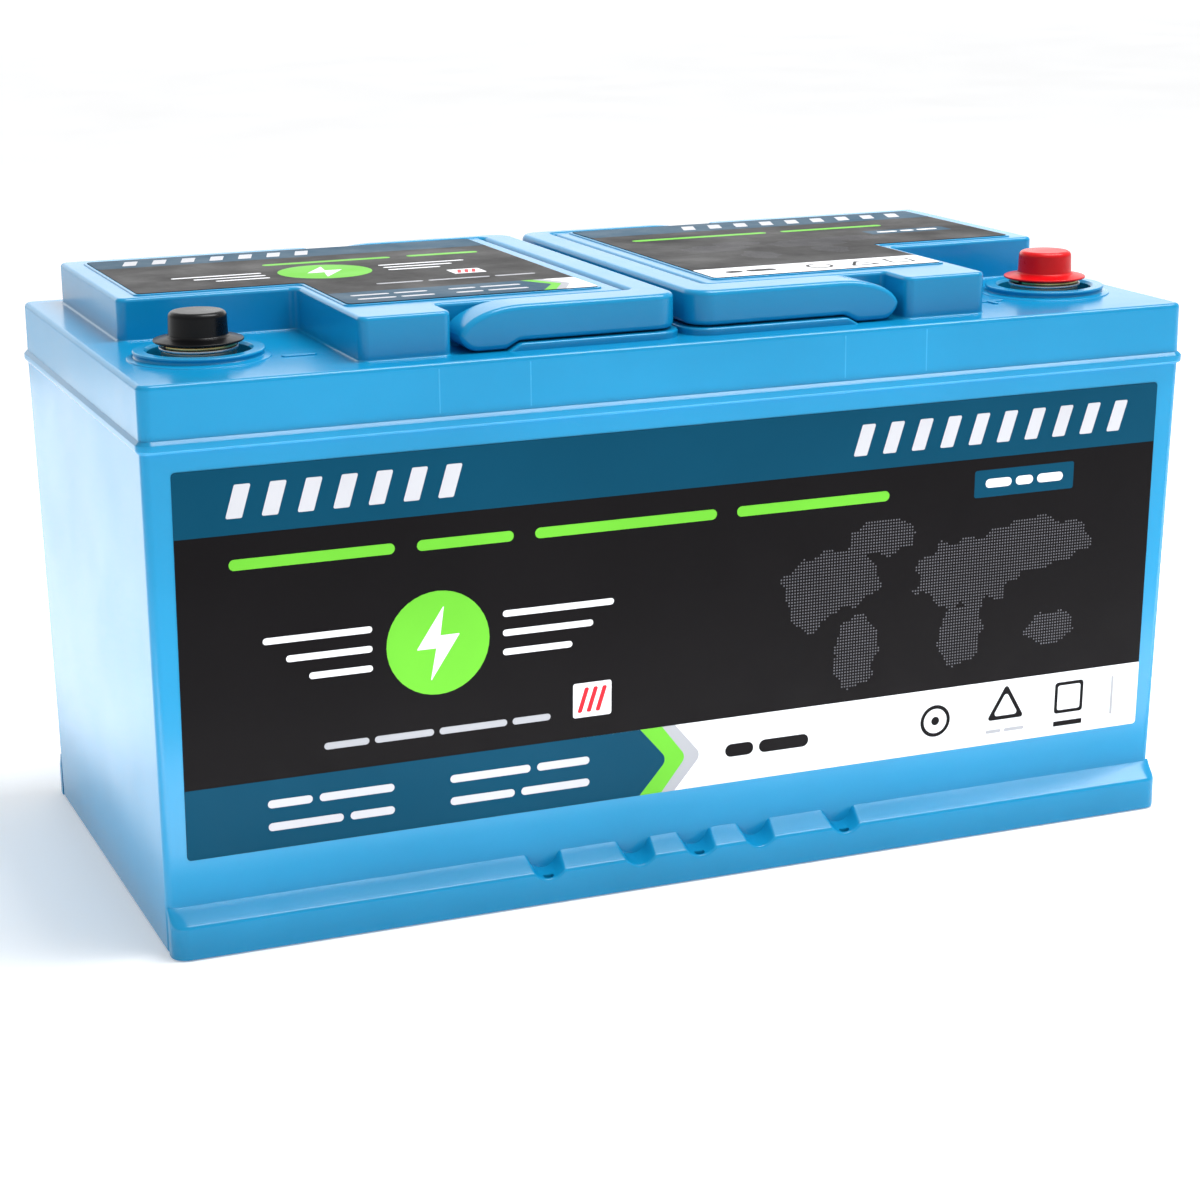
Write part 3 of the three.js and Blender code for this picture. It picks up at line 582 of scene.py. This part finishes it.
def build_handle_pad(side):
    """The low step under a folded handle, with a ramp down to the deck beside the pivot."""
    top, low, edge, join = DECK + 2.3, DECK - 2.0, 0.8, 50.0
    y0, y1 = ARM_FRONT[0] - 1.5, ARM_BACK[1] + 1.5
    plan = [(0.5, y0, 9.5), (60.0, y0, SQUARE), (60.0, y1, SQUARE), (0.5, y1, 9.5)]
    inner = 46.0
    ramp = [(inner, low, SQUARE), (61.0, low, SQUARE), (59.4, DECK, 0.6), (55.4, top, 3.5)]
    ramp.append((inner, top, SQUARE))

    def profile(inset):
        return [(side * p.x, p.y) for p in contour(ramp, inset, 4)]

    bm = bmesh.new()
    tower(bm, on_side(plan, side), low, top, top=edge, bottom=edge, steps=10)
    trim(bm, side * join, side)
    add_span(bm, profile, side * join, side, y0, y1, edge, 5)
    word = "left" if side < 0 else "right"
    finish_piece(raw_object(f"handle_pad_{word}", bm), BLUE)


def build_collar(side):
    """The raised ring round a terminal, with the well inside it down to the post's seal."""
    under_floor, neck_r = WELL_FLOOR - WALL, COLLAR_R - 0.45
    inside = [(WELL_R + 0.75, COLLAR_TOP, 0.5), (WELL_R, COLLAR_TOP - 0.9, 0.4), (WELL_R, WELL_FLOOR, 0.4)]
    cup = [(STEM_R, WELL_FLOOR, 0.2), (STEM_R, under_floor, 0.2), (CUP_R, under_floor, 0.3)]
    foot = [
        (CUP_R, DECK - 0.5, 0.1), (COLLAR_FOOT_R, DECK - 0.5, 0.05), (COLLAR_FOOT_R - 0.4, DECK + 0.3, 0.3),
        (neck_r, DECK + 0.75, 0.5),
    ]
    bead_low = COLLAR_TOP - 0.7
    bead = [(neck_r, bead_low - 0.4, 0.3), (COLLAR_R, bead_low, 0.2), (COLLAR_R, COLLAR_TOP, 0.45)]
    bm = bmesh.new()
    lathe(bm, inside + cup + foot + bead, side * TERMINAL_X, TERMINAL_Y, sides=120)
    word = "negative" if side < 0 else "positive"
    finish_piece(raw_object(f"{word}_collar", bm), BLUE, sharp=50)


def build_polarity_mark(side):
    """A raised bar on the deck beside the terminal, crossed by a second one on the positive side."""
    bm = bmesh.new()
    x, y, long, thin = side * 119.0, -56.0, 5.5, 1.1
    mark = rectangle(-long, long, -thin, thin, 1.0)
    if side > 0:
        mark = []
        for k in range(4):
            c, s = round(math.cos(math.pi / 2 * k)), round(math.sin(math.pi / 2 * k))
            for u, v, r in ((long, -thin, 1.0), (long, thin, 1.0), (thin, thin, 0.3)):
                mark.append((u * c - v * s, u * s + v * c, r))
    tower(bm, [(x + u, y + v, r) for u, v, r in mark], DECK - 0.2, DECK + 0.5, top=0.35, bottom=0.05)
    word = "minus" if side < 0 else "plus"
    finish_piece(raw_object(f"{word}_mark", bm), BLUE)


def build_seam_lines():
    """Faint upright mould lines on the skirt, front and back, in a paler blue that paints a highlight along
    each line.
    """
    half_width, proud, edge = 0.22, 0.04, 0.03
    bm = bmesh.new()
    for x in (-85.0, -56.0, 50.0, 79.0):
        for side in (-1, 1):
            y = side * (HALF_Y - SKIRT_INSET)
            line = rectangle(x - half_width, x + half_width, y - proud, y + proud, edge)
            tower(bm, line, RIM_TOP + 1.0, DECK - 1.7, edge, edge)
    finish_piece(raw_object("skirt_seam_lines", bm), BLUE_PAINTED_HIGHLIGHT)


build_lid()
build_seam_lines()
for side in (-1, 1):
    build_raised_block(side)
    build_handle_pad(side)
    build_collar(side)
    build_polarity_mark(side)


# ------------------------------------------------------------------ handles
HANDLE_LOW, HANDLE_TOP, HANDLE_TIP, HANDLE_BAR = 178.7, 189.7, 2.0, 13.0
HANDLE_EDGE, HANDLE_ROUND = 1.7, 8.0
ARM_JOIN = 48.0  # where an arm's shaped end meets the rest of the handle
NOSE_R = 6.2


def nose_profile(side, inset):
    """An arm's end from the side, moved in by inset: flat underneath, a round nose, a long falling top."""
    start_x = ARM_JOIN - 4
    corners = [(start_x, HANDLE_TOP, SQUARE), (start_x, HANDLE_LOW, SQUARE)]
    corners += [(55.2, HANDLE_LOW, 3.0), (59.6, PIVOT_Z - NOSE_R, 3.0), (PIVOT_X, PIVOT_Z - NOSE_R, SQUARE)]
    for k in range(1, 11):
        a = math.radians(80) * k / 10
        corners.append((PIVOT_X + NOSE_R * math.sin(a), PIVOT_Z - NOSE_R * math.cos(a), SQUARE))
    start, end = Vector(corners[-1][:2]), Vector((53.5, HANDLE_TOP))
    b, c = Vector((PIVOT_X + 5.4, PIVOT_Z + 3.0)), Vector((65.5, HANDLE_TOP))
    for k in range(1, 17):
        t = k / 16
        p = start * (1 - t) ** 3 + b * 3 * t * (1 - t) ** 2 + c * 3 * t * t * (1 - t) + end * t ** 3
        corners.append((p.x, p.y, SQUARE))
    return [(side * p.x, p.y) for p in contour(corners, inset, 2)]


def handle_pockets():
    """The pockets under a handle as (x0, x1, y0, y1): six in the grip and two in the wide arm."""
    pitch, length, first = 21.5, 19.9, -58.0
    grip = [(4.4, 10.6, first + i * pitch, first + i * pitch + length) for i in range(6)]
    return grip + [(16.0, 33.0, -74.0, -63.5), (34.6, 52.0, -74.0, -63.5)]


def build_handle(side):
    """A U-shaped handle: a flat plan, two shaped arm ends, two trunnion pins and pockets underneath."""
    body = "handle_left" if side < 0 else "handle_right"
    join = side * ARM_JOIN
    arm_x = ARM_JOIN + 6
    plan = [
        (HANDLE_TIP, ARM_FRONT[0], HANDLE_ROUND), (arm_x, ARM_FRONT[0], SQUARE),
        (arm_x, ARM_FRONT[1], SQUARE), (HANDLE_BAR, ARM_FRONT[1], 2.0),
        (HANDLE_BAR, ARM_BACK[0], 2.0), (arm_x, ARM_BACK[0], SQUARE),
        (arm_x, ARM_BACK[1], SQUARE), (HANDLE_TIP, ARM_BACK[1], HANDLE_ROUND),
    ]
    edges = {"top": HANDLE_EDGE, "bottom": HANDLE_EDGE}
    whole = bmesh.new()
    tower(whole, on_side(plan, side), HANDLE_LOW, HANDLE_TOP, steps=10, arc=6, **edges)
    trim(whole, join, side)
    for y0, y1 in (ARM_FRONT, ARM_BACK):
        add_span(whole, lambda inset: nose_profile(side, inset), join, side, y0, y1, HANDLE_EDGE, 6)
    for inner, way in ((ARM_FRONT[1], 1), (ARM_BACK[0], -1)):
        pin = [(inner - 0.4 * way, PIN_R), (inner + 3.9 * way, PIN_R), (inner + 4.4 * way, PIN_R - 0.5)]
        rod_y(whole, side * PIVOT_X, PIVOT_Z, pin)
    grip = raw_object(f"{body}_grip", whole)
    cutters = []
    roof, floor = HANDLE_TOP - WALL, HANDLE_LOW - 1.0
    for x0, x1, y0, y1 in handle_pockets():
        plan = on_side(rectangle(x0, x1, y0, y1, 1.0), side)
        cut = bmesh.new()
        tower(cut, plan, floor, roof, top=0.8, bottom=0.05, steps=4)
        cutters.append(raw_object("pocket_cutter", cut))
    carve(grip, cutters)
    finish_piece(grip, BLUE, body=body, replaces=[body])


build_handle(-1)
build_handle(1)


# ------------------------------------------------------------------ terminals
BOLT_HEAD_LOW, BOLT_HEAD_HIGH, HEAD_ACROSS_FLATS = 180.75, 186.05, 13.0
SHANK_LOW, SHANK_HIGH, SHANK_R, THREAD_DEPTH, PITCH = 164.6, 181.0, 3.95, 0.6, 1.25


def thread_shank(bm, x, y):
    """The bolt's shank: rings of points on a right-hand V thread, tapered at its lower end."""
    sides, per_pitch = 48, 10
    length = SHANK_HIGH - SHANK_LOW
    count = int(length / PITCH * per_pitch)
    rings = []
    for row in range(count + 1):
        rise = length * row / count
        fade = min(1.0, rise / (0.8 * PITCH))
        ring = []
        for k in range(sides):
            a = 2 * math.pi * k / sides
            phase = (rise / PITCH - k / sides) % 1.0
            cut = THREAD_DEPTH * (1 - abs(2 * phase - 1) * 1.35)
            r = SHANK_R - max(0.0, cut) - THREAD_DEPTH * (1 - fade)
            ring.append((x + r * math.cos(a), y + r * math.sin(a), SHANK_LOW + rise))
        rings.append(ring)
    skin(bm, rings)


def build_cap(x, y, word, material, slot):
    """The press-on cover: a flanged cup with a plain stem."""
    inside = [(0.0, 187.4, 0.0), (7.9, 187.4, 0.4), (7.9, 181.9, 0.6)]
    flange = [(9.6, 181.6, 0.6), (13.6, 180.85, 0.25), (13.75, 181.5, 0.3), (9.9, 182.35, 1.0)]
    stem = [(9.0, 182.8, 0.5), (8.75, 190.0, 1.7), (0.0, 190.0, 0.0)]
    bm = bmesh.new()
    lathe(bm, inside + flange + stem, x, y, arc=5)
    cap = raw_object(f"{word}_cap", bm)
    finish_piece(cap, material, body=f"{word}_cap", replaces=[f"{word}_terminal_cap"], sharp=50)


def build_bolt(x, y, word):
    """The M8 bolt: a hexagonal head and a threaded shank."""
    reach = HEAD_ACROSS_FLATS / math.sqrt(3)
    turns = [math.pi / 3 * k for k in range(6)]
    hexagon = [(x + reach * math.cos(a), y + reach * math.sin(a), 0.35) for a in turns]
    bm = bmesh.new()
    tower(bm, hexagon, BOLT_HEAD_LOW, BOLT_HEAD_HIGH, top=0.35, bottom=0.1, steps=3)
    head = raw_object(f"{word}_bolt_head", bm)
    finish_piece(head, ZINC, body=f"{word}_bolt", replaces=[f"{word}_terminal_bolt"])
    bm = bmesh.new()
    thread_shank(bm, x, y)
    finish_piece(raw_object(f"{word}_bolt_thread", bm), ZINC, body=f"{word}_bolt", sharp=60)


def build_rings(x, y, word):
    """A flat washer, and a split one whose end springs up at the gap."""
    body = f"{word}_washers"
    bm = bmesh.new()
    flat = [(12.0, 178.55, 0.12), (12.0, 179.45, 0.25), (4.25, 179.45, 0.12), (4.25, 178.55, 0.1)]
    lathe(bm, flat, x, y)
    ring = raw_object(f"{word}_flat_ring", bm)
    finish_piece(ring, ZINC, body=body, replaces=[f"{word}_flat_washer"], sharp=50)

    low, high = 179.5, 180.35
    section = contour([(4.4, low, 0.12), (11.4, low, 0.2), (11.4, high, 0.2), (4.4, high, 0.12)], 0, 3)
    gap, start = math.radians(8), math.radians(-166)
    rings = []
    for k in range(97):
        t = k / 96
        a = start + gap / 2 + (2 * math.pi - gap) * t
        lift = max(0.0, t - 0.45) * 0.6
        rings.append([(x + p.x * math.cos(a), y + p.x * math.sin(a), p.y + lift) for p in section])
    bm = bmesh.new()
    skin(bm, rings)
    ring = raw_object(f"{word}_split_ring", bm)
    finish_piece(
        ring, YELLOW_ZINC, body=body, replaces=[f"{word}_spring_washer"], sharp=50
    )


def build_post(x, y, word):
    """The tinned post that stands in the well, with the bolt's bore down its middle."""
    low, step, top, bore_low = 152.0, 169.2, 178.5, 161.0
    outside = [(0.0, low, 0.0), (8.0, low, 0.4), (8.0, step, 0.2), (11.3, step, 0.3), (11.3, top, 0.4)]
    bore = [(4.7, top, 0.1), (4.15, top - 0.5, 0.05), (4.15, bore_low, 0.2), (0.0, bore_low, 0.0)]
    bm = bmesh.new()
    lathe(bm, outside + bore, x, y, sides=80)
    post = raw_object(f"{word}_post_body", bm)
    finish_piece(post, TIN, replaces=[f"{word}_terminal_post"], sharp=50)


TERMINALS = {"negative": (-1, BLACK_CAP, "black_cap"), "positive": (1, RED_CAP, "red_cap")}
for word, (side, material, slot) in TERMINALS.items():
    place = side * TERMINAL_X, TERMINAL_Y
    build_cap(*place, word, material, slot)
    build_bolt(*place, word)
    build_rings(*place, word)
    build_post(*place, word)


# ------------------------------------------------------------------ printed labels
LAYER = 0.014  # height of one printed layer, mm


class Sheet:
    """A label drawn flat: a film with printed shapes stacked on it, each a little above the one below."""

    def __init__(self, corners, z0, z1, base):
        self.bm = bmesh.new()
        self.top = z1
        tower(self.bm, corners, z0, z1, top=0.03, bottom=0.01, steps=4, arc=2)
        for face in self.bm.faces:
            face.material_index = base

    def shape(self, corners, colour, level=1, steps=5):
        points = contour(corners, 0.0, steps)
        if sum(a.cross(b) for a, b in zip(points, points[1:] + points[:1])) < 0:
            points.reverse()
        face = self.bm.faces.new([self.bm.verts.new((p.x, p.y, self.top + LAYER * level)) for p in points])
        face.material_index = colour

    def bar(self, u0, u1, v0, v1, colour, level=2, radius=None):
        size = min(u1 - u0, v1 - v0) / 2
        self.shape(rectangle(u0, u1, v0, v1, size * 0.98 if radius is None else radius), colour, level)

    def words(self, u0, u1, v0, v1, shares, colour, level=2, gap=2.0):
        """A line of plain bars, one for each share of the line's length."""
        room = (u1 - u0) - gap * (len(shares) - 1)
        at = u0
        for share in shares:
            width = room * share / sum(shares)
            self.bar(at, at + width, v0, v1, colour, level)
            at += width + gap

    def ticks(self, u0, u1, v0, v1, count, lean, colour, level=2, fill=0.5):
        """A row of equal slanted ticks."""
        step = (u1 - u0 - lean) / (count - 1 + fill)
        for i in range(count):
            a = u0 + step * i
            b = a + step * fill
            tick = [(a, v0, 0.5), (b, v0, 0.5), (b + lean, v1, 0.5), (a + lean, v1, 0.5)]
            self.shape(tick, colour, level)

    def disc(self, u, v, radius, colour, level, sides=40):
        turns = [2 * math.pi * k / sides for k in range(sides)]
        z = self.top + LAYER * level
        ring = [self.bm.verts.new((u + radius * math.cos(a), v + radius * math.sin(a), z)) for a in turns]
        self.bm.faces.new(ring).material_index = colour

    def outlined(self, shapes, level=2):
        """A black shape with a smaller white one on it, which leaves a black outline."""
        for rise, (corners, colour) in enumerate(zip(shapes, (BLACK_I, WHITE_I))):
            self.shape(corners, colour, level + rise)

    def arrow(self, flags, v0, v1, tip_v, tip_radius):
        """Flags that point to +u, each laid over the one before: (left, corner, shoulder, tip, colour)."""
        for level, (left, corner, shoulder, tip, colour) in enumerate(flags, 2):
            self.shape([
                (left, v0, corner), (shoulder, v0, SQUARE), (tip, tip_v, tip_radius),
                (shoulder, v1, SQUARE), (left, v1, SQUARE),
            ], colour, level)

    def bolt_badge(self, u, v, size, level=2):
        """A green disc with a plain white lightning flash."""
        self.disc(u, v, size, GREEN_I, level)
        flash = [(0.12, 0.72), (-0.42, -0.1), (-0.04, -0.1), (-0.16, -0.74), (0.42, 0.14), (0.04, 0.14)]
        self.shape([(u + a * size, v + b * size, 0.15) for a, b in flash], WHITE_I, level + 1, steps=2)

    def dots(self, u0, u1, v0, v1, pitch, islands, level=2):
        """A field of small dots that fills ragged oval patches: (middle u, middle v, half u, half v)."""
        rows, columns = int((v1 - v0) / pitch), int((u1 - u0) / pitch)
        for row in range(rows):
            for column in range(columns):
                u, v = u0 + (column + 0.5) * pitch, v0 + (row + 0.5) * pitch
                ragged = 0.16 * math.sin(u * 0.61 + v * 0.37) + 0.12 * math.sin(u * 0.23 - v * 0.83)
                if any(((u - a) / c) ** 2 + ((v - b) / d) ** 2 < 1 + ragged for a, b, c, d in islands):
                    self.disc(u, v, pitch * 0.3, DOT_I, level, sides=6)

    def done(self, name, node, matrix=None):
        label = self.bm
        if matrix is not None:
            bmesh.ops.transform(label, matrix=matrix, verts=label.verts)
        bmesh.ops.scale(label, vec=(MM, MM, MM), verts=label.verts)
        mesh = bpy.data.meshes.new(name)
        label.to_mesh(mesh)
        label.free()
        obj = bpy.data.objects.new(name, mesh)
        bpy.context.scene.collection.objects.link(obj)
        finish_piece(obj, INKS, replaces=[node])


def triangle(u, v, size, radius):
    """An upright triangle's corners."""
    turns = [math.radians(a) for a in (210, 330, 90)]
    return [(u + size * math.cos(a), v + size * math.sin(a), radius) for a in turns]


MARGIN = 0.02  # printed bands stop this far short of the film's edge
TICK_FILL = 0.46


def front_label():
    """The front wall's print: teal and white bands on black, with plain marks in place of any lettering."""
    half_u, half_v, corner = 167.0, 60.2, 1.2
    sheet = Sheet(rectangle(-half_u, half_u, -half_v, half_v, corner), 0.0, 0.17, BLACK_I)
    right, top = half_u - MARGIN, half_v - MARGIN
    left, bottom = -right, -top
    low_band, top_band, white_from, tip_v = -37.8, 40.1, -30.0, -49.0
    sheet.shape([
        (left, top_band, SQUARE), (right, top_band, SQUARE), (right, top, corner), (left, top, corner),
    ], TEAL_I)
    sheet.shape([
        (white_from, bottom, SQUARE), (right, bottom, corner), (right, low_band, SQUARE),
        (white_from, low_band, SQUARE),
    ], WHITE_I)
    flags = [(-40.0, SQUARE, -7.0, 2.4, GREY_I), (-40.0, SQUARE, -11.6, -3.0, GREEN_I)]
    flags.append((left, corner, -19.2, -9.6, TEAL_I))
    sheet.arrow(flags, bottom, low_band, tip_v, 3.0)
    sheet.ticks(-151.5, -78.0, 45.0, 55.2, 7, 3.0, PALE_I, fill=TICK_FILL)
    sheet.ticks(54.0, 155.8, 45.0, 55.2, 10, 3.0, PALE_I, fill=TICK_FILL)
    sheet.shape(rectangle(98.9, 136.3, 26.8, 36.0, 0.8), TEAL_I, 1)
    sheet.words(103.0, 132.2, 29.9, 32.9, (3, 2, 3), WHITE_I, 2, 1.6)
    sheet.words(-151.0, 67.5, 29.1, 32.5, (51, 31, 61, 54), GREEN_I, 2, 7.0)
    sheet.bolt_badge(-86.5, -0.6, 16.6)
    for v, length in ((6.2, 34.0), (0.0, 27.0), (-6.2, 20.0)):
        sheet.bar(-107.5 - length, -107.5, v - 1.05, v + 1.05, WHITE_I)
        sheet.bar(-65.5, -65.5 + length + 3.0, v - 1.05, v + 1.05, WHITE_I)
    sheet.words(-123.4, -49.8, -30.4, -28.2, (9, 12, 14, 8), GREY_I, 2, 1.8)
    sheet.shape(rectangle(-42.2, -29.2, -31.0, -19.6, 0.8), WHITE_I, 1)
    sheet.ticks(-40.8, -30.6, -29.4, -21.2, 3, 2.6, RED_I)
    for v, first, second in ((-45.6, (10, 17), (15, 10)), (-53.0, (15, 9), (12, 13))):
        sheet.words(-141.6, -101.4, v - 1.3, v + 1.3, first, PALE_I, 5, 2.2)
        sheet.words(-83.2, -36.6, v - 1.3, v + 1.3, second, PALE_I, 5, 2.2)
    sheet.words(10.8, 40.8, -51.4, -47.0, (9, 16), BLACK_I, 2, 2.0)
    sheet.disc(88.0, tip_v, 5.6, BLACK_I, 2)
    sheet.disc(88.0, tip_v, 4.3, WHITE_I, 3)
    sheet.disc(88.0, tip_v, 1.5, BLACK_I, 4, sides=24)
    sheet.outlined([triangle(115.0, -47.6, size, 0.9) for size in (8.4, 5.6)])
    sheet.words(107.6, 122.4, -56.3, -55.1, (6, 8), GREY_I, 2, 1.2)
    sheet.outlined([rectangle(134.0, 145.2, -52.6, -41.4, 1.2), rectangle(135.2, 144.0, -51.4, -42.6, 0.8)])
    sheet.bar(134.0, 145.2, -57.2, -55.4, BLACK_I, 2, 0.2)
    sheet.words(156.2, 157.2, -55.5, -41.6, (1,), GREY_I)
    islands = (
        (48, 4, 17, 11), (66, 17, 12, 6), (57, -21, 8, 12), (98, 2, 20, 12), (96, -19, 8, 11),
        (122, 9, 22, 9), (130, -21, 9, 6), (40, -4, 8, 8),
    )
    sheet.dots(28.0, 147.0, -34.0, 24.0, 1.0, islands)
    lean = math.atan((SHOULDER[1] - FOOT[1]) / RIM_BOTTOM)
    middle = 89.75
    place = Matrix.Translation((0, -wall_half(1, middle) - 0.05, middle))
    sheet.done("front_print", "front_label", place @ Matrix.Rotation(math.pi / 2 + lean, 4, "X"))


TOP_CORNER = 1.4
TOP_LOW = LABEL_FRONT + MARGIN


def top_sheet(side):
    """A top label's film with its teal band."""
    sheet = Sheet(on_side(label_outline(), side), PLATEAU_TOP + 0.01, LABEL_TOP - 6.5 * LAYER, BLACK_I)
    x0, x1 = (-LABEL_END, -LABEL_CENTRE) if side < 0 else (LABEL_CENTRE, LABEL_END)
    sheet.shape(rectangle(x0 + MARGIN, x1 - MARGIN, 52.0, LABEL_BACK - MARGIN, TOP_CORNER), TEAL_I)
    return sheet


def top_label_left():
    """The left block's print: the front label's left half, made smaller."""
    sheet = top_sheet(-1)
    left, right, white_from, band = MARGIN - LABEL_BAY, -LABEL_CENTRE - MARGIN, -60.0, -31.5
    sheet.shape(rectangle(white_from, right, TOP_LOW, band, TOP_CORNER), WHITE_I)
    flags = [(white_from, SQUARE, -31.0, -25.5, GREY_I), (white_from, SQUARE, -34.4, -28.4, GREEN_I)]
    flags.append((left, TOP_CORNER, -38.4, -31.8, TEAL_I))
    sheet.arrow(flags, TOP_LOW, band, (TOP_LOW + band) / 2, 2.0)
    sheet.ticks(-147.0, -80.0, 56.5, 66.0, 7, 3.0, PALE_I, fill=TICK_FILL)
    sheet.words(-104.0, -28.0, 36.0, 39.8, (7, 4), GREEN_I, 2, 6.0)
    sheet.bolt_badge(-89.0, 15.5, 15.5)
    for v, length in ((21.0, 30.0), (15.5, 24.0), (10.0, 18.0)):
        sheet.bar(-109.0 - length, -109.0, v - 1.0, v + 1.0, WHITE_I)
        sheet.bar(-69.0, -69.0 + length, v - 1.0, v + 1.0, WHITE_I)
    sheet.words(-82.0, -28.0, -19.0, -16.8, (9, 12, 8), GREY_I, 2, 1.8)
    sheet.shape(rectangle(-52.0, -41.0, -8.0, 1.5, 0.8), WHITE_I, 1)
    sheet.ticks(-50.7, -42.3, -6.6, 0.1, 3, 2.2, RED_I)
    for v in (-38.5, -46.0):
        sheet.words(-97.0, -72.0, v - 1.1, v + 1.1, (8, 7), PALE_I, 5, 1.6)
        sheet.words(-65.0, -41.0, v - 1.1, v + 1.1, (6, 9), PALE_I, 5, 1.6)
    sheet.done("top_print_left", "top_label_left")


def top_label_right():
    """The right block's print: the front label's right half, made smaller."""
    sheet = top_sheet(1)
    left, right, band = LABEL_CENTRE + MARGIN, LABEL_BAY - MARGIN, -35.0
    sheet.shape(rectangle(left, right, TOP_LOW, band, TOP_CORNER), WHITE_I)
    sheet.ticks(58.0, 149.0, 56.5, 66.0, 9, 3.0, PALE_I, fill=TICK_FILL)
    sheet.words(30.0, 128.0, 36.0, 39.8, (9, 7), GREEN_I, 2, 6.0)
    sheet.shape(rectangle(114.0, 146.0, 17.0, 26.0, 0.8), TEAL_I, 1)
    sheet.words(118.0, 142.0, 20.2, 22.8, (3, 2, 3), WHITE_I, 2, 1.4)
    islands = (
        (48, 8, 12, 8), (60, 16, 9, 5), (56, -12, 6, 9), (84, 8, 14, 9), (84, -9, 6, 8), (102, 12, 12, 6),
    )
    sheet.dots(30.0, 116.0, -28.0, 24.0, 1.0, islands)
    sheet.words(28.0, 46.0, -46.0, -42.0, (4, 7), BLACK_I, 2, 1.6)
    sheet.disc(62.0, -44.0, 4.6, BLACK_I, 2)
    sheet.disc(62.0, -44.0, 3.5, WHITE_I, 3)
    sheet.outlined([triangle(77.0, -45.5, size, 0.7) for size in (6.4, 4.2)])
    sheet.outlined([rectangle(87.0, 96.0, -48.0, -39.5, 1.0), rectangle(88.0, 95.0, -47.0, -40.5, 0.7)])
    sheet.done("top_print_right", "top_label_right")


front_label()
top_label_left()
top_label_right()


# ------------------------------------------------------------------ pieces that keep their CAD shape
KEPT = {
    "post_seal": SEAL, "post_nut": ZINC, "cell_nut": ZINC, "bms_screw": ZINC, "bms_board": BOARD,
    "bms_heat_sink": HEAT_SINK, "bms_tray": FIBRE, "separator": FIBRE, "cell_strap": STRAP, "_pad": FOAM,
    "cell_link": COPPER, "negative_cell_lead": BLACK_CABLE, "negative_output_lead": BLACK_CABLE,
    "positive_output_lead": RED_CABLE, "sense_harness": WHITE_CABLE,
}
for name, node in NODES.items():
    if node.hide_render:
        continue
    material = next((m for key, m in KEPT.items() if key in name), CELL)
    if node.material_slots:
        node.material_slots[0].material = material
    else:
        node.data.materials.append(material)


# ------------------------------------------------------------------ floor, light and camera
def add_floor():
    """A plain pale floor, a hair below the battery's foot."""
    mesh = bpy.data.meshes.new("floor")
    reach, behind = 14.0, 30.0
    mesh.from_pydata([(-reach, -reach, 0), (reach, -reach, 0), (reach, behind, 0), (-reach, behind, 0)], [],
                     [(0, 1, 2, 3)])
    mesh.materials.append(FLOOR)
    floor = bpy.data.objects.new("floor", mesh)
    bpy.context.scene.collection.objects.link(floor)
    floor.location.z = -0.0002


def add_light(name, place, target, size, power):
    """A white rectangular light that the camera doesn't see: metres and watts."""
    data = bpy.data.lights.new(name, "AREA")
    data.shape = "RECTANGLE"
    data.size, data.size_y = size
    data.energy = power
    light = bpy.data.objects.new(name, data)
    light.location = place
    light.visible_camera = False
    light.rotation_euler = (Vector(target) - Vector(place)).to_track_quat("-Z", "Y").to_euler()
    bpy.context.scene.collection.objects.link(light)


def add_world():
    """Studio surround: bright overhead, dimmer towards the horizon."""
    world = bpy.data.worlds.new("studio")
    bpy.context.scene.world = world
    world.use_nodes = True
    tree = world.node_tree
    coordinates = tree.nodes.new("ShaderNodeTexCoord")
    split = tree.nodes.new("ShaderNodeSeparateXYZ")
    ramp = tree.nodes.new("ShaderNodeMapRange")
    ends = {"From Min": -0.05, "From Max": 0.9, "To Min": 0.5, "To Max": 0.7}
    for key, number in ends.items():
        ramp.inputs[key].default_value = number
    background = tree.nodes["Background"]
    background.inputs["Color"].default_value = (1.0, 1.0, 1.0, 1.0)
    tree.links.new(coordinates.outputs["Generated"], split.inputs["Vector"])
    tree.links.new(split.outputs["Z"], ramp.inputs["Value"])
    tree.links.new(ramp.outputs["Result"], background.inputs["Strength"])


def add_camera():
    """At the photograph's viewing angle: azimuth 22.15 degrees off the front, 15.26 degrees down."""
    data = bpy.data.cameras.new("camera")
    data.lens, data.sensor_width = 81.0, 36.0
    data.clip_start, data.clip_end = 0.05, 60.0
    camera = bpy.data.objects.new("camera", data)
    azimuth, down, roll = math.radians(22.15), math.radians(15.26), math.radians(-0.56)
    level = math.cos(down)
    forward = Vector((math.sin(azimuth) * level, math.cos(azimuth) * level, -math.sin(down)))
    aim = forward.to_track_quat("-Z", "Y").to_matrix()
    camera.rotation_euler = (aim @ Matrix.Rotation(roll, 3, "Z")).to_euler()
    camera.location = (-0.3391, -0.8352, 0.3181)
    bpy.context.scene.collection.objects.link(camera)
    bpy.context.scene.camera = camera


add_floor()
add_world()
add_light("overhead_softbox", (0.62, -0.2, 1.5), (0.62, -0.2, 0.0), (1.2, 0.62), 28.0)
add_light("back_card", (2.0, 8.5, 2.2), (2.0, 0.0, 2.2), (14.0, 4.2), 190.0)
add_light("left_floor_glow", (-0.42, 0.36, 0.004), (-0.42, 0.36, 1.0), (0.46, 1.0), 1.15)
add_light("front_floor_glow", (0.15, -0.18, 0.004), (0.15, -0.18, 1.0), (1.1, 0.09), 1.2)
add_light("front_fill", (0.9, -1.7, 0.9), (0, 0, 0.1), (1.2, 1.0), 0.5)
add_camera()
bpy.context.scene.view_settings.view_transform = "Standard"
